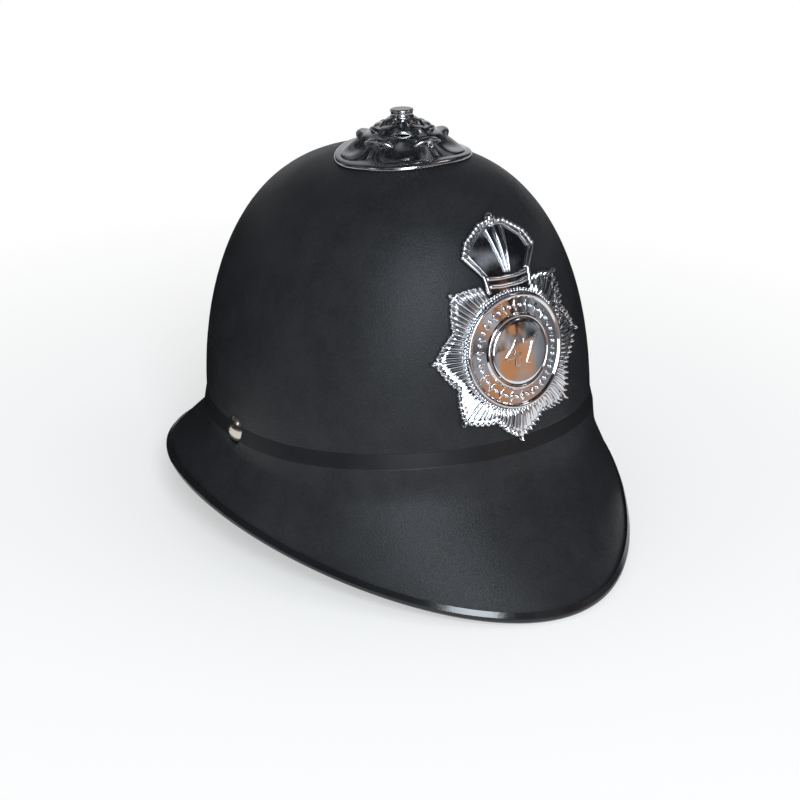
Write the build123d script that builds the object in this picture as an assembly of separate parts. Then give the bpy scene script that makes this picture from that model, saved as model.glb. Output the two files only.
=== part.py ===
from build123d import *
import os
from math import asin, atan2, cos, degrees, hypot, pi, radians, sin, sqrt

os.makedirs("parts", exist_ok=True)

# Lengths are millimetres. In the helmet's own frame the band plane is z = 0,
# the front is -Y and the widest line of the crown is y = 0.

# Crown form
crown_height = 132.0
half_width = 98.0
front_reach = 92.0
rear_reach = 128.0
apex_forward = 5.6
seat_height = 130.0
wall = 2.6
core_radius = 2.0
crown_side_shares = (1.83, 2.49)
crown_front_shares = (2.87, 2.46)
crown_rear_shares = (2.46, 2.73)

# Shoulder band between crown and bell
band_drop = 7.5
band_step = 1.6

# Brim edge, a closed curve with cosine terms in every direction
brim_half_width = 116.3
brim_waist = 6.6
brim_centre = 7.4
brim_half_length = 140.8
brim_egg = 5.5
brim_level = 50.0
brim_pitch = 20.6
brim_arch = 10.8
brim_square = 5.8
brim_fold = 2.3
flare_start_share = 0.28
flare_soft_share = 0.14
flare_droop_share = 0.3

# Sections and steps of the formed surfaces
section_step = 12.0
section_overlap = 12.0
crown_points = 9
bell_points = 8
overrun = 20.0
outline_steps = 12
ring_steps = 24
rim_steps = 8
bearing_rounds = 40
walk_step = 0.5
slope_share = 1e-3
oval_joint = 20.0

# Edge trim
trim_thickness = 1.0
trim_depth = 3.0
trim_nose = 2.0
trim_clearance = 0.15

# Rivets of the chin strap
rivet_y = 17.5
rivet_drop = 3.5
rivet_seat_x = 97.3
rivet_pad_x = 93.4
rivet_pad_depth = 2.2
rivet_pad_radius = 9.5
rivet_seat_radius = 7.6
rivet_cap_radius = 7.1
rivet_cap_height = 3.0
rivet_shank_radius = 2.0
rivet_hole_clearance = 0.2
rivet_tail_radius = 3.8
rivet_tail_height = 1.2
washer_radius = 6.0
washer_thickness = 1.0
swing_clearance = 0.3

# Chin strap, drawn hanging straight down
strap_width = 16.0
strap_thickness = 2.0
strap_tab_rise = 8.0
strap_tab_drop = 9.0
strap_knee_x = 74.0
strap_knee_drop = 62.0
strap_chin_x = 32.0
strap_chin_drop = 114.0
strap_bend_radius = 26.0
strap_rest_angle = 70.4
strap_hole_clearance = 0.4
buckle_share = 0.52
buckle_length = 17.0
buckle_bar_radius = 1.1
buckle_side_gap = 1.0
buckle_rise = 2.4
eye_radius = 2.6
eye_clearance = 0.2
eye_slot = 3.2
joggle_start = 14.0
joggle_end = 6.0
tail_level = 3.9
tail_length = 24.0
tail_hole_radius = 1.3
tail_hole_pitch = 9.0
tail_hole_count = 3
prong_radius = 0.8
prong_width = 2.4
prong_rise = 4.6
prong_lap = 2.5
prong_hole_radius = 1.5
prong_slot_start = 13.5
prong_slot_end = 1.2
keeper_length = 6.0
keeper_wall = 1.2
keeper_gap = 0.4
keeper_place = 17.0

# Head harness
harness_centre = 18.0
headband_half_width = 84.0
headband_half_length = 103.5
headband_thickness = 1.5
headband_bottom = -11.0
headband_height = 32.0
fit_gap = 0.2
soft_gap = 0.3
sweatband_thickness = 3.0
sweatband_margin = 2.0
sweatband_round = 1.2
front_key_turn = 48.0
rear_key_turn = 114.0
key_width = 20.0
key_thickness = 2.0
key_bottom = 4.0
key_top = 34.0
key_pin_radius = 2.0
key_pin_height = 11.0
socket_width = 27.0
socket_bottom = 23.0
socket_height = 13.0
socket_wall = 2.0
slot_clearance = 0.3
cradle_width = 20.0
cradle_thickness = 1.2
cradle_top = 105.0
cradle_spring = 22.0
cradle_foot = 2.0
cradle_drop = 1.0
cradle_pin_radius = 2.0
cradle_pin_height = 11.5
cradle_head_radius = 3.6
cradle_head_height = 1.0

# Boss on the crown
boss_forward = 1.0
boss_radius = 35.8
boss_skirt = 5.0
boss_rim_height = 0.6
boss_hollow_radius = 22.0
boss_hollow_top = 10.0
boss_hollow_height = 8.0
boss_core_radius = 7.0
tier_radii = (33.5, 26.0, 17.0)
tier_heights = (5.6, 5.2, 4.6)
petal_foot_share = 0.5
petal_top_share = 0.34
petal_reach_share = 0.5
tier_core_share = 0.62
tier_lap = 2.0
petal_tip_radius = 2.2
petal_tip_share = 0.9
petal_tip_height_share = 0.72
petal_count = 5
boss_clearance = 0.25
button_radius = 6.2
button_neck_radius = 5.2
button_waist_radius = 4.2
button_top_radius = 4.4
button_height = 6.2
button_lip = 1.8
button_crown = 0.8
spigot_radius = 2.2
spigot_length = 3.0
spigot_clearance = 0.2
stud_radius = 2.5
stud_clearance = 0.3
stud_rise = 9.0
stud_tail = 9.0
boss_washer_radius = 9.0
boss_washer_thickness = 1.5
nut_across = 8.0
nut_height = 4.0

# Badge on the front
badge_centre = 44.8
badge_gap = 0.3
star_radius = 45.5
star_valley = 37.0
star_points = 8
star_thickness = 2.0
ring_radius = 28.2
ring_hole_radius = 16.6
ring_rise = 2.4
ring_rim = 1.7
ring_channel_depth = 1.2
disc_radius = 16.1
disc_rise = 3.0
post_radius = 1.6
post_spots = ((-22.0, 35.0), (22.0, 35.0), (0.0, 82.0))
post_clearance = 0.3
post_end = 1.0
clip_radius = 5.5
clip_thickness = 1.0
emblem_outline = ((13.5, 29.0), (14.5, 37.0), (23.0, 49.0), (19.0, 57.0), (8.0, 66.0))
finial_radius = 3.6
finial_rise = 69.5
badge_depth = 130.0
badge_back = 50.0


def fall(share, shape_shares):
    """Width share left at a height share of the crown, by a superellipse rule."""
    return (1.0 - share ** shape_shares[0]) ** (1.0 / shape_shares[1])


def crown_axes(share, inset):
    """Half width, front y, rear y and widest y of the crown at a height share."""
    reach_front = front_reach - apex_forward - inset
    reach_rear = rear_reach + apex_forward - inset
    width = (half_width - inset) * fall(share, crown_side_shares)
    front = -apex_forward - reach_front * fall(share, crown_front_shares)
    rear = -apex_forward + reach_rear * fall(share, crown_rear_shares)
    widest = -apex_forward * (1.0 - fall(share, crown_side_shares))
    return width, front, rear, widest


def crown_radius(share, bearing, inset):
    """Distance from the apex axis to the crown surface, bearing 0 at the front."""
    width, front, rear, widest = crown_axes(share, inset)
    shift = -apex_forward - widest
    for reach in (widest - front, rear - widest):
        square = (sin(bearing) / width) ** 2 + (cos(bearing) / reach) ** 2
        middle = -shift * cos(bearing) / reach ** 2
        rest = (shift / reach) ** 2 - 1.0
        radius = (-middle + sqrt(middle ** 2 - square * rest)) / square
        if shift - radius * cos(bearing) <= 0.0:
            return radius
    return radius


def brim_point(turn):
    """Point of the brim edge for a turn parameter, zero at the front."""
    x = brim_half_width * sin(turn) - brim_waist * sin(2.0 * turn)
    y = brim_centre - brim_half_length * cos(turn) + brim_egg * cos(2.0 * turn)
    y = y - brim_square * cos(3.0 * turn)
    z = -brim_level - brim_pitch * cos(turn) - brim_arch * cos(2.0 * turn)
    z = z + brim_fold * cos(3.0 * turn)
    return x, y, z


def brim_at(bearing):
    """Radius and height of the brim edge at a bearing round the apex axis."""
    low, high = bearing - pi / 4.0, bearing + pi / 4.0
    for _ in range(bearing_rounds):
        middle = (low + high) / 2.0
        x, y, z = brim_point(middle)
        along = x * cos(bearing) + (y + apex_forward) * sin(bearing)
        if along > 0.0:
            high = middle
        else:
            low = middle
    x, y, z = brim_point(middle)
    return hypot(x, y + apex_forward), z


def flare(share):
    """Outward share of the bell wall: nearly upright, then swept out to the edge."""

    def ramp(value):
        offset = value - flare_start_share
        return (offset + sqrt(offset ** 2 + flare_soft_share ** 2)) / 2.0

    rise = (ramp(share) - ramp(0.0)) / (ramp(1.0) - ramp(0.0))
    return rise * (1.0 + flare_droop_share * (1.0 - share))


def bell_point(bearing, share):
    """Radius and height of the outer bell wall, share 0 at the band, 1 at the edge."""
    top = crown_radius(0.0, bearing, 0.0) + band_step
    edge_radius, edge_height = brim_at(bearing)
    radius = top + (edge_radius - top) * flare(share)
    height = -band_drop + (edge_height + band_drop) * share
    return radius, height


def bell_normal(bearing, share):
    """Outward direction of the bell wall in its section plane."""
    low = bell_point(bearing, share - slope_share)
    high = bell_point(bearing, share + slope_share)
    along = (high[0] - low[0], high[1] - low[1])
    size = hypot(*along)
    return -along[1] / size, along[0] / size


def bell_curve(bearing, inset):
    """Points down the bell wall, moved inward by an inset."""
    points = []
    for step in range(bell_points + 1):
        share = step / bell_points
        radius, height = bell_point(bearing, share)
        out, up = bell_normal(bearing, share) if step else (1.0, 0.0)
        points.append((radius - out * inset, height - up * inset))
    return points


def crown_curve(bearing, inset):
    """Points down the crown wall from its flat seat to the band, inset inward."""
    height = crown_height - inset
    top_angle = asin((seat_height - inset) / height)
    points = []
    for step in range(crown_points + 1):
        share = sin(top_angle * (1.0 - step / crown_points))
        points.append((crown_radius(share, bearing, inset), height * share))
    return points


def place_point(bearing, radius, height):
    """Section point to space."""
    return Vector(radius * sin(bearing), -apex_forward - radius * cos(bearing), height)


def section_wire(bearing, curves):
    """Closed wire in one section plane from curves that share their end points."""
    edges = []
    for curve in curves:
        spots = [place_point(bearing, *point) for point in curve]
        if len(spots) > 2:
            edges.append(Edge.make_spline(spots))
        else:
            edges.append(Edge.make_line(*spots))
    return Wire(edges)


def shell_section(bearing):
    """Section of the shell: outside down, inside up."""
    outer_crown = crown_curve(bearing, 0.0)
    inner_crown = crown_curve(bearing, wall)[::-1]
    outer_bell = bell_curve(bearing, 0.0)
    inner_bell = bell_curve(bearing, wall)[::-1]
    core_top = (core_radius, seat_height)
    core_bottom = (core_radius, seat_height - wall)
    return section_wire(
        bearing,
        [
            [core_top, outer_crown[0]],
            outer_crown,
            [outer_crown[-1], outer_bell[0]],
            outer_bell,
            [outer_bell[-1], inner_bell[0]],
            inner_bell,
            [inner_bell[-1], inner_crown[0]],
            inner_crown,
            [inner_crown[-1], core_bottom],
            [core_bottom, core_top],
        ],
    )


def both_halves(section):
    """Loft a section round one side of the helmet and mirror it to the other."""
    count = round((180.0 + 2.0 * section_overlap) / section_step)
    bearings = [radians(-section_overlap + section_step * step) for step in range(count + 1)]
    half = Solid.make_loft([section(bearing) for bearing in bearings])
    reach = 2.0 * (rear_reach + brim_half_length)
    keep = Pos(reach / 2.0, 0.0, 0.0) * Box(reach, reach * 2.0, reach * 2.0)
    half = half & keep
    return half + mirror(half, about=Plane.YZ)


def trim_section(bearing):
    """Section of the edge trim: a bead with a slot that takes the shell's edge."""
    edge_radius, edge_height = brim_at(bearing)
    out, up = bell_normal(bearing, 1.0)
    slot = trim_clearance
    outer = slot + trim_thickness

    def spot(along, across):
        return (
            edge_radius + up * along + out * across,
            edge_height - out * along + up * across,
        )

    round_end = wall / 2.0 + outer
    top = spot(0.0, outer)
    bottom = spot(0.0, -wall - outer)
    arc_points = []
    for step in range(5):
        turn = pi * step / 4.0
        arc_points.append(spot(trim_nose * sin(turn), -wall / 2.0 + round_end * cos(turn)))
    return section_wire(
        bearing,
        [
            [spot(-trim_depth, outer), top],
            arc_points,
            [bottom, spot(-trim_depth, -wall - outer)],
            [spot(-trim_depth, -wall - outer), spot(-trim_depth, -wall - slot)],
            [spot(-trim_depth, -wall - slot), spot(slot, -wall - slot)],
            [spot(slot, -wall - slot), spot(slot, slot)],
            [spot(slot, slot), spot(-trim_depth, slot)],
            [spot(-trim_depth, slot), spot(-trim_depth, outer)],
        ],
    )


def crown_outline(height, inset):
    """Closed outline of the crown at a height: a front and a rear half ellipse."""
    share = max(height, 0.0) / (crown_height - inset)
    width, front, rear, widest = crown_axes(share, inset)
    level = Plane(origin=(0.0, widest, height), x_dir=(1.0, 0.0, 0.0), z_dir=(0.0, 0.0, 1.0))
    rear_arc = Edge.make_ellipse(width, rear - widest, level, 0.0, 180.0)
    front_arc = Edge.make_ellipse(width, widest - front, level, 180.0, 360.0)
    return Wire([rear_arc, front_arc])


def crown_form(inset):
    """Solid inside the crown surface, moved in by an inset, up to the flat seat."""
    heights = [-1.5 * band_drop, -0.5 * band_drop]
    for step in range(outline_steps + 1):
        heights.append(seat_height * sin(pi / 2.0 * step / outline_steps))
    return Solid.make_loft([crown_outline(height, inset) for height in heights])


def front_y(x, height, inset):
    """y of the crown's front surface at x and a height."""
    width, front, _, widest = crown_axes(height / (crown_height - inset), inset)
    return widest - (widest - front) * sqrt(1.0 - (x / width) ** 2)


def side_rod(side, radius, low, high):
    """Cylinder on the rivet line of one side between two distances from the middle."""
    middle = side * (low + high) / 2.0
    turn = Rotation(0.0, 90.0, 0.0)
    return Pos(middle, rivet_y, -rivet_drop) * turn * Cylinder(radius, high - low)


def front_rod(x, height, radius, low, high):
    """Cylinder along Y between two values of y."""
    turn = Rotation(90.0, 0.0, 0.0)
    return Pos(x, (low + high) / 2.0, height) * turn * Cylinder(radius, high - low)


def band_plane(turn):
    """Plane on the headband's outside with its normal pointing out."""
    angle = radians(turn)
    origin = (
        headband_half_width * sin(angle),
        harness_centre - headband_half_length * cos(angle),
        0.0,
    )
    normal = (sin(angle) / headband_half_width, -cos(angle) / headband_half_length, 0.0)
    return Plane(origin=origin, x_dir=(0.0, 0.0, 1.0), z_dir=normal)


def key_turns():
    """Turns of the four harness keys round the headband."""
    return front_key_turn, rear_key_turn, 360.0 - rear_key_turn, 360.0 - front_key_turn


def clip_face_y(x, height):
    """y where a clip's face clears the inner wall all round its rim."""
    values = []
    for step in range(rim_steps):
        angle = 2.0 * pi * step / rim_steps
        spot = (x + clip_radius * cos(angle), height + clip_radius * sin(angle))
        values.append(front_y(*spot, wall))
    return max(values) + fit_gap


def sockets():
    """Four blocks on the inner wall, each with a slot for a harness key."""
    middle = socket_bottom + socket_height / 2.0
    blocks = []
    slots = []
    inner = fit_gap - slot_clearance - socket_wall
    slot_depth = key_thickness + 2.0 * slot_clearance
    slot_top = key_top + slot_clearance
    for turn in key_turns():
        plane = band_plane(turn)
        block = Box(socket_height, socket_width, overrun)
        blocks.append(plane * Pos(middle, 0.0, inner + overrun / 2.0) * block)
        slot = Box(slot_top - socket_bottom + overrun, key_width + 2.0 * slot_clearance, slot_depth)
        centre = (slot_top + socket_bottom - overrun) / 2.0
        depth = fit_gap + key_thickness / 2.0
        slots.append(plane * Pos(centre, 0.0, depth) * slot)
    form = crown_form(wall / 2.0)
    return [block & form for block in blocks], slots


def make_shell():
    """Moulded shell with its seats, holes and harness sockets."""
    shell = both_halves(shell_section)
    blocks, slots = sockets()
    for side in (-1.0, 1.0):
        pad_end = rivet_pad_x + rivet_pad_depth
        shell = shell + side_rod(side, rivet_pad_radius, rivet_pad_x, pad_end)
    for block in blocks:
        shell = shell + block
    for slot in slots:
        shell = shell - slot
    for side in (-1.0, 1.0):
        seat_end = rivet_seat_x + overrun
        shell = shell - side_rod(side, rivet_seat_radius, rivet_seat_x, seat_end)
        hole = rivet_shank_radius + rivet_hole_clearance
        shell = shell - side_rod(side, hole, rivet_pad_x - overrun, seat_end)
    stud_hole = Cylinder(stud_radius + stud_clearance, 2.0 * overrun)
    shell = shell - Pos(0.0, -boss_forward, seat_height) * stud_hole
    for x, height in post_spots:
        outer = front_y(x, height, 0.0)
        hole = front_rod(x, height, post_radius + post_clearance, outer - overrun, outer + overrun)
        shell = shell - hole
    return shell


def make_rivet(side):
    """Domed rivet: cap outside, shank, and spread tail inside."""
    tail_start = tail_x() - rivet_tail_height
    dome_radius = (rivet_cap_radius ** 2 + rivet_cap_height ** 2) / (2.0 * rivet_cap_height)
    cap_end = rivet_seat_x + rivet_cap_height
    half_turn = asin(rivet_cap_radius / dome_radius) / 2.0
    middle = (cap_end - dome_radius * (1.0 - cos(half_turn)), dome_radius * sin(half_turn))
    stem = Polyline(
        (cap_end, 0.0),
        (tail_start, 0.0),
        (tail_start, rivet_tail_radius),
        (tail_x(), rivet_tail_radius),
        (tail_x(), rivet_shank_radius),
        (rivet_seat_x, rivet_shank_radius),
        (rivet_seat_x, rivet_cap_radius),
    )
    dome = ThreePointArc((rivet_seat_x, rivet_cap_radius), middle, (cap_end, 0.0))
    rivet = Pos(0.0, rivet_y, -rivet_drop) * revolve(make_face(stem + dome), Axis.X)
    return rivet if side > 0.0 else mirror(rivet, about=Plane.YZ)


def tail_x():
    """Distance from the middle to the face of the rivet's spread tail."""
    tab = rivet_pad_x - 2.0 * swing_clearance - strap_thickness
    return tab - washer_thickness


def make_rivet_washer(side):
    """Washer between the strap's tab and the rivet's tail."""
    start = tail_x()
    disc = side_rod(side, washer_radius, start, start + washer_thickness)
    hole = rivet_shank_radius + rivet_hole_clearance
    return disc - side_rod(side, hole, start - overrun, start + overrun)


def tab_x():
    """Middle plane of the strap's tab."""
    return rivet_pad_x - swing_clearance - strap_thickness / 2.0


def buckle_spot():
    """Place of the buckle's pin bar on the sloping left leg, as x and drop."""
    x = strap_chin_x + (strap_knee_x - strap_chin_x) * buckle_share
    drop = strap_chin_drop + (strap_knee_drop - strap_chin_drop) * buckle_share
    return x, drop


def buckle_plane():
    """Frame at the pin bar: x up the strap, y across it, z away from the face."""
    x, drop = buckle_spot()
    along = (strap_knee_x - strap_chin_x, 0.0, strap_chin_drop - strap_knee_drop)
    out = (strap_chin_drop - strap_knee_drop, 0.0, -(strap_knee_x - strap_chin_x))
    origin = (x, rivet_y, -rivet_drop - drop)
    return Plane(origin=origin, x_dir=along, z_dir=out)


def strap_band(points):
    """Flat strap that follows a path given as x and drop pairs."""
    path = FilletPolyline(
        *[(x, rivet_y, -rivet_drop - drop) for x, drop in points],
        radius=strap_bend_radius,
    )
    section = Plane(origin=path @ 0, z_dir=path % 0, x_dir=(0.0, 1.0, 0.0))
    return sweep(section * Rectangle(strap_width, strap_thickness), path=path)


def local_profile(points, width):
    """Solid from an outline in the buckle's frame, spread evenly across the strap."""
    plane = buckle_plane()
    outline = make_face(Polyline(*[plane.from_local_coords((a, 0.0, t)) for a, t in points], close=True))
    return extrude(outline, width / 2.0, dir=(0.0, 1.0, 0.0), both=True)


def local_rod(start, end, radius):
    """Cylinder between two points of the buckle's frame."""
    plane = buckle_plane()
    first = plane.from_local_coords(start)
    last = plane.from_local_coords(end)
    axis = last - first
    section = Plane(origin=first, z_dir=axis)
    return extrude(section * Circle(radius), axis.length)


def tab_hole(side):
    """Cutter for the rivet hole in a strap tab."""
    radius = rivet_shank_radius + strap_hole_clearance
    return side_rod(side, radius, tab_x() - overrun, tab_x() + overrun)


def make_strap_right():
    """Long strap from the right rivet round the chin, through the buckle to its tail."""
    x, drop = buckle_spot()
    length = hypot(strap_knee_x - strap_chin_x, strap_knee_drop - strap_chin_drop)
    share = joggle_start / length
    stop = (
        x - (strap_knee_x - strap_chin_x) * share,
        drop + (strap_chin_drop - strap_knee_drop) * share,
    )
    band = strap_band(
        [
            (-tab_x(), -strap_tab_rise),
            (-tab_x(), strap_tab_drop),
            (-strap_knee_x, strap_knee_drop),
            (-strap_chin_x, strap_chin_drop),
            (strap_chin_x, strap_chin_drop),
            stop,
        ]
    )
    half = strap_thickness / 2.0
    tail = local_profile(
        [
            (-joggle_start, -half),
            (-joggle_end, tail_level - half),
            (tail_length, tail_level - half),
            (tail_length, tail_level + half),
            (-joggle_end, tail_level + half),
            (-joggle_start, half),
        ],
        strap_width,
    )
    strap = band + tail - tab_hole(-1.0)
    slot = [
        (-prong_slot_start, -overrun),
        (-prong_slot_end, -overrun),
        (-prong_slot_end, overrun),
        (-prong_slot_start, overrun),
    ]
    strap = strap - local_profile(slot, 2.0 * prong_hole_radius)
    for step in range(tail_hole_count):
        spot = tail_hole_pitch * step + joggle_end / 2.0
        low = (spot, 0.0, tail_level - strap_thickness)
        high = (spot, 0.0, tail_level + strap_thickness)
        strap = strap - local_rod(low, high, tail_hole_radius)
    return strap


def make_strap_left():
    """Short strap from the left rivet to an eye round the buckle's pin bar."""
    band = strap_band(
        [
            (tab_x(), -strap_tab_rise),
            (tab_x(), strap_tab_drop),
            (strap_knee_x, strap_knee_drop),
            buckle_spot(),
        ]
    )
    reach = strap_width / 2.0
    eye = local_rod((0.0, -reach, 0.0), (0.0, reach, 0.0), eye_radius)
    bore = buckle_bar_radius + eye_clearance
    cutter = local_rod((0.0, -reach - overrun, 0.0), (0.0, reach + overrun, 0.0), bore)
    size = eye_radius + eye_clearance
    slot = local_profile([(-size, -size), (size, -size), (size, size), (-size, size)], eye_slot)
    return band + eye - cutter - slot - tab_hole(1.0)


def side_reach():
    """Distance from the strap's middle line to a side bar of the buckle."""
    return strap_width / 2.0 + buckle_side_gap + buckle_bar_radius


def make_buckle_frame():
    """Round-wire frame with a pin bar, two side bars and a front bar."""
    reach = side_reach()
    rise = buckle_rise
    corners = [(0.0, -reach, 0.0), (0.0, reach, 0.0), (-buckle_length, reach, rise), (-buckle_length, -reach, rise)]
    plane = buckle_plane()
    frame = None
    for first, last in zip(corners, corners[1:] + corners[:1]):
        bar = local_rod(first, last, buckle_bar_radius)
        ball = Location(plane.from_local_coords(first)) * Sphere(buckle_bar_radius)
        frame = bar + ball if frame is None else frame + bar + ball
    return frame


def prong_tip():
    """Tip of the prong beyond the front bar, in the buckle's frame."""
    reach = buckle_length + prong_lap
    return (-reach, 0.0, prong_rise * reach / buckle_length)


def make_buckle_prong():
    """Prong with an eye that turns on the pin bar."""
    half = prong_width / 2.0
    eye = local_rod((0.0, -half, 0.0), (0.0, half, 0.0), eye_radius)
    prong = local_rod((0.0, 0.0, 0.0), prong_tip(), prong_radius)
    bore = buckle_bar_radius + eye_clearance
    return eye + prong - local_rod((0.0, -overrun, 0.0), (0.0, overrun, 0.0), bore)


def make_keeper():
    """Loop that holds the tail against the short strap."""
    low = -strap_thickness / 2.0 - keeper_gap
    high = tail_level + strap_thickness / 2.0 + keeper_gap
    start = keeper_place - keeper_length / 2.0
    stop = keeper_place + keeper_length / 2.0

    def block(extra, ends, width):
        points = [
            (start - ends, low - extra),
            (stop + ends, low - extra),
            (stop + ends, high + extra),
            (start - ends, high + extra),
        ]
        return local_profile(points, width)

    inner_width = strap_width + 2.0 * keeper_gap
    return block(keeper_wall, 0.0, inner_width + 2.0 * keeper_wall) - block(0.0, overrun, inner_width)


def swing_to_rest(shape):
    """Turn a strap piece from hanging down to its tucked place under the rear brim."""
    there = Pos(0.0, rivet_y, -rivet_drop)
    back = Pos(0.0, -rivet_y, rivet_drop)
    return shape.moved(there * Rotation(strap_rest_angle, 0.0, 0.0) * back)


def oval_wire(half_x, half_y):
    """Oval outline whose joint lies between the holes of the harness."""
    spots = []
    for step in range(ring_steps):
        turn = radians(oval_joint + 360.0 * step / ring_steps)
        spots.append(Vector(half_x * sin(turn), -half_y * cos(turn), 0.0))
    return Wire([Edge.make_spline(spots, periodic=True)])


def harness_hoop(outer, thickness, bottom, height):
    """Upright oval hoop set in from the headband's outside by a distance."""
    size = (headband_half_width - outer, headband_half_length - outer)
    ring = Face(oval_wire(*size), [oval_wire(size[0] - thickness, size[1] - thickness)])
    return Pos(0.0, harness_centre, bottom) * extrude(ring, height)


def make_headband():
    """Stiff oval band with holes for the harness keys and cradle pins."""
    band = harness_hoop(0.0, headband_thickness, headband_bottom, headband_height)
    radius = key_pin_radius + fit_gap
    for turn in key_turns():
        hole = Pos(key_pin_height, 0.0, 0.0) * Cylinder(radius, overrun)
        band = band - band_plane(turn) * hole
    radius = cradle_pin_radius + fit_gap
    for turn in (0.0, 90.0, 180.0, 270.0):
        hole = Pos(cradle_pin_height, 0.0, 0.0) * Cylinder(radius, overrun)
        band = band - band_plane(turn) * hole
    return band


def make_sweatband():
    """Padded lining hoop inside the headband."""
    outer = headband_thickness + soft_gap
    bottom = headband_bottom + sweatband_margin
    height = headband_height - 2.0 * sweatband_margin
    hoop = harness_hoop(outer, sweatband_thickness, bottom, height)
    return fillet(hoop.edges().filter_by(GeomType.LINE, reverse=True), sweatband_round)


def make_keys():
    """Four flat keys that hang the headband in the shell's sockets."""
    keys = []
    for turn in key_turns():
        middle = (key_bottom + key_top) / 2.0
        plate = Box(key_top - key_bottom, key_width, key_thickness)
        plate = Pos(middle, 0.0, fit_gap + key_thickness / 2.0) * plate
        pin_length = headband_thickness + fit_gap
        pin = Cylinder(key_pin_radius, pin_length)
        pin = Pos(key_pin_height, 0.0, fit_gap - pin_length / 2.0) * pin
        keys.append(band_plane(turn) * (plate + pin))
    return Compound(children=keys)


def cradle_arch(half_span, top):
    """Arched strap in the XZ plane with upright feet, centred on the origin."""
    outer = (half_span + fit_gap + cradle_thickness, top - cradle_spring)
    inner = (outer[0] - cradle_thickness, outer[1] - cradle_thickness)
    ring = Ellipse(*outer) - Ellipse(*inner)
    keep = Pos(0.0, outer[1]) * Rectangle(4.0 * outer[0], 2.0 * outer[1])
    arch = ring & keep
    leg = cradle_spring - cradle_foot
    for side in (-1.0, 1.0):
        foot = Rectangle(cradle_thickness, leg)
        arch = arch + Pos(side * (outer[0] + inner[0]) / 2.0, -leg / 2.0) * foot
    solid = extrude(arch, cradle_width / 2.0, both=True)
    return Pos(0.0, harness_centre, cradle_spring) * Rotation(90.0, 0.0, 0.0) * solid


def cradle_turned(shape):
    """Turn a cradle piece from side to side to front to rear."""
    there = Pos(0.0, harness_centre, 0.0)
    back = Pos(0.0, -harness_centre, 0.0)
    return shape.moved(there * Rotation(0.0, 0.0, 90.0) * back)


def pin_holes(shape, turns):
    """Cut the cradle pin holes out of a strap."""
    for turn in turns:
        hole = Cylinder(cradle_pin_radius + fit_gap, overrun)
        shape = shape - band_plane(turn) * Pos(cradle_pin_height, 0.0, 0.0) * hole
    return shape


def make_cradle_long():
    """Cradle strap from the brow to the nape."""
    arch = cradle_arch(headband_half_length, cradle_top)
    return pin_holes(cradle_turned(arch), (0.0, 180.0))


def make_cradle_cross():
    """Cradle strap from side to side, passing under the long one."""
    top = cradle_top - cradle_thickness - cradle_drop
    return pin_holes(cradle_arch(headband_half_width, top), (90.0, 270.0))


def make_cradle_pins():
    """Four pins that join the cradle's feet to the headband."""
    pins = []
    for turn in (0.0, 90.0, 180.0, 270.0):
        head_start = fit_gap + cradle_thickness
        pin_length = head_start + headband_thickness
        pin = Pos(0.0, 0.0, head_start - pin_length / 2.0) * Cylinder(cradle_pin_radius, pin_length)
        head = Cylinder(cradle_head_radius, cradle_head_height)
        head = Pos(0.0, 0.0, head_start + cradle_head_height / 2.0) * head
        pins.append(band_plane(turn) * Pos(cradle_pin_height, 0.0, 0.0) * (pin + head))
    return Compound(children=pins)


def boss_at(height, shape):
    """Move a boss piece to the boss's axis at a height over the flat seat."""
    return Pos(0.0, -boss_forward, seat_height + height) * shape


def standing(radius, low, high):
    """Upright cylinder between two heights."""
    return Pos(0.0, 0.0, (low + high) / 2.0) * Cylinder(radius, high - low)


def make_boss_rose():
    """Rose boss: a base rim and three tiers of petals, hollowed to fit the crown."""
    rose = standing(boss_radius, -boss_skirt, boss_rim_height)
    level = boss_rim_height
    for tier, (radius, height) in enumerate(zip(tier_radii, tier_heights)):
        rose = rose + standing(radius * tier_core_share, level - tier_lap, level + height)
        for petal in range(petal_count):
            angle = 360.0 / petal_count * (petal + (tier + 1.0) / 2.0)
            cone = Cone(radius * petal_foot_share, radius * petal_top_share, height)
            reach = radius * petal_reach_share
            tip = Pos(0.0, -radius * petal_tip_share, level + height * petal_tip_height_share)
            turned = Rotation(0.0, 0.0, angle)
            rose = rose + turned * Pos(0.0, -reach, level + height / 2.0) * cone
            rose = rose + turned * tip * Sphere(petal_tip_radius)
        level = level + height
    hollow = Cone(boss_hollow_radius, boss_hollow_top, boss_hollow_height + boss_skirt)
    hollow = Pos(0.0, 0.0, (boss_hollow_height - boss_skirt) / 2.0) * hollow
    rose = rose - (hollow - standing(boss_core_radius, -overrun, overrun))
    rose = rose - standing(stud_radius, -overrun, stud_rise)
    rose = rose - standing(spigot_radius + spigot_clearance, level - spigot_length - fit_gap, level + overrun)
    return boss_at(0.0, rose) - crown_form(-boss_clearance)


def boss_top():
    """Height of the rose over the seat."""
    return boss_rim_height + sum(tier_heights)


def make_boss_button():
    """Waisted button on top of the rose, with a spigot below."""
    half = (button_height - button_lip) / 2.0
    button = standing(spigot_radius, -spigot_length, half)
    button = button + Pos(0.0, 0.0, half / 2.0) * Cone(button_neck_radius, button_waist_radius, half)
    button = button + Pos(0.0, 0.0, 1.5 * half) * Cone(button_waist_radius, button_radius, half)
    lip_top = button_height - button_crown
    button = button + standing(button_radius, 2.0 * half, lip_top)
    cap = Cone(button_radius, button_top_radius, button_crown)
    return boss_at(boss_top(), button + Pos(0.0, 0.0, lip_top + button_crown / 2.0) * cap)


def make_boss_stud():
    """Threaded stud from the rose down through the shell."""
    return boss_at(0.0, standing(stud_radius, -stud_tail, stud_rise))


def make_boss_washer():
    """Washer under the shell's flat top."""
    top = -wall
    disc = standing(boss_washer_radius, top - boss_washer_thickness, top)
    return boss_at(0.0, disc - standing(stud_radius + stud_clearance, -overrun, 0.0))


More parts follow.
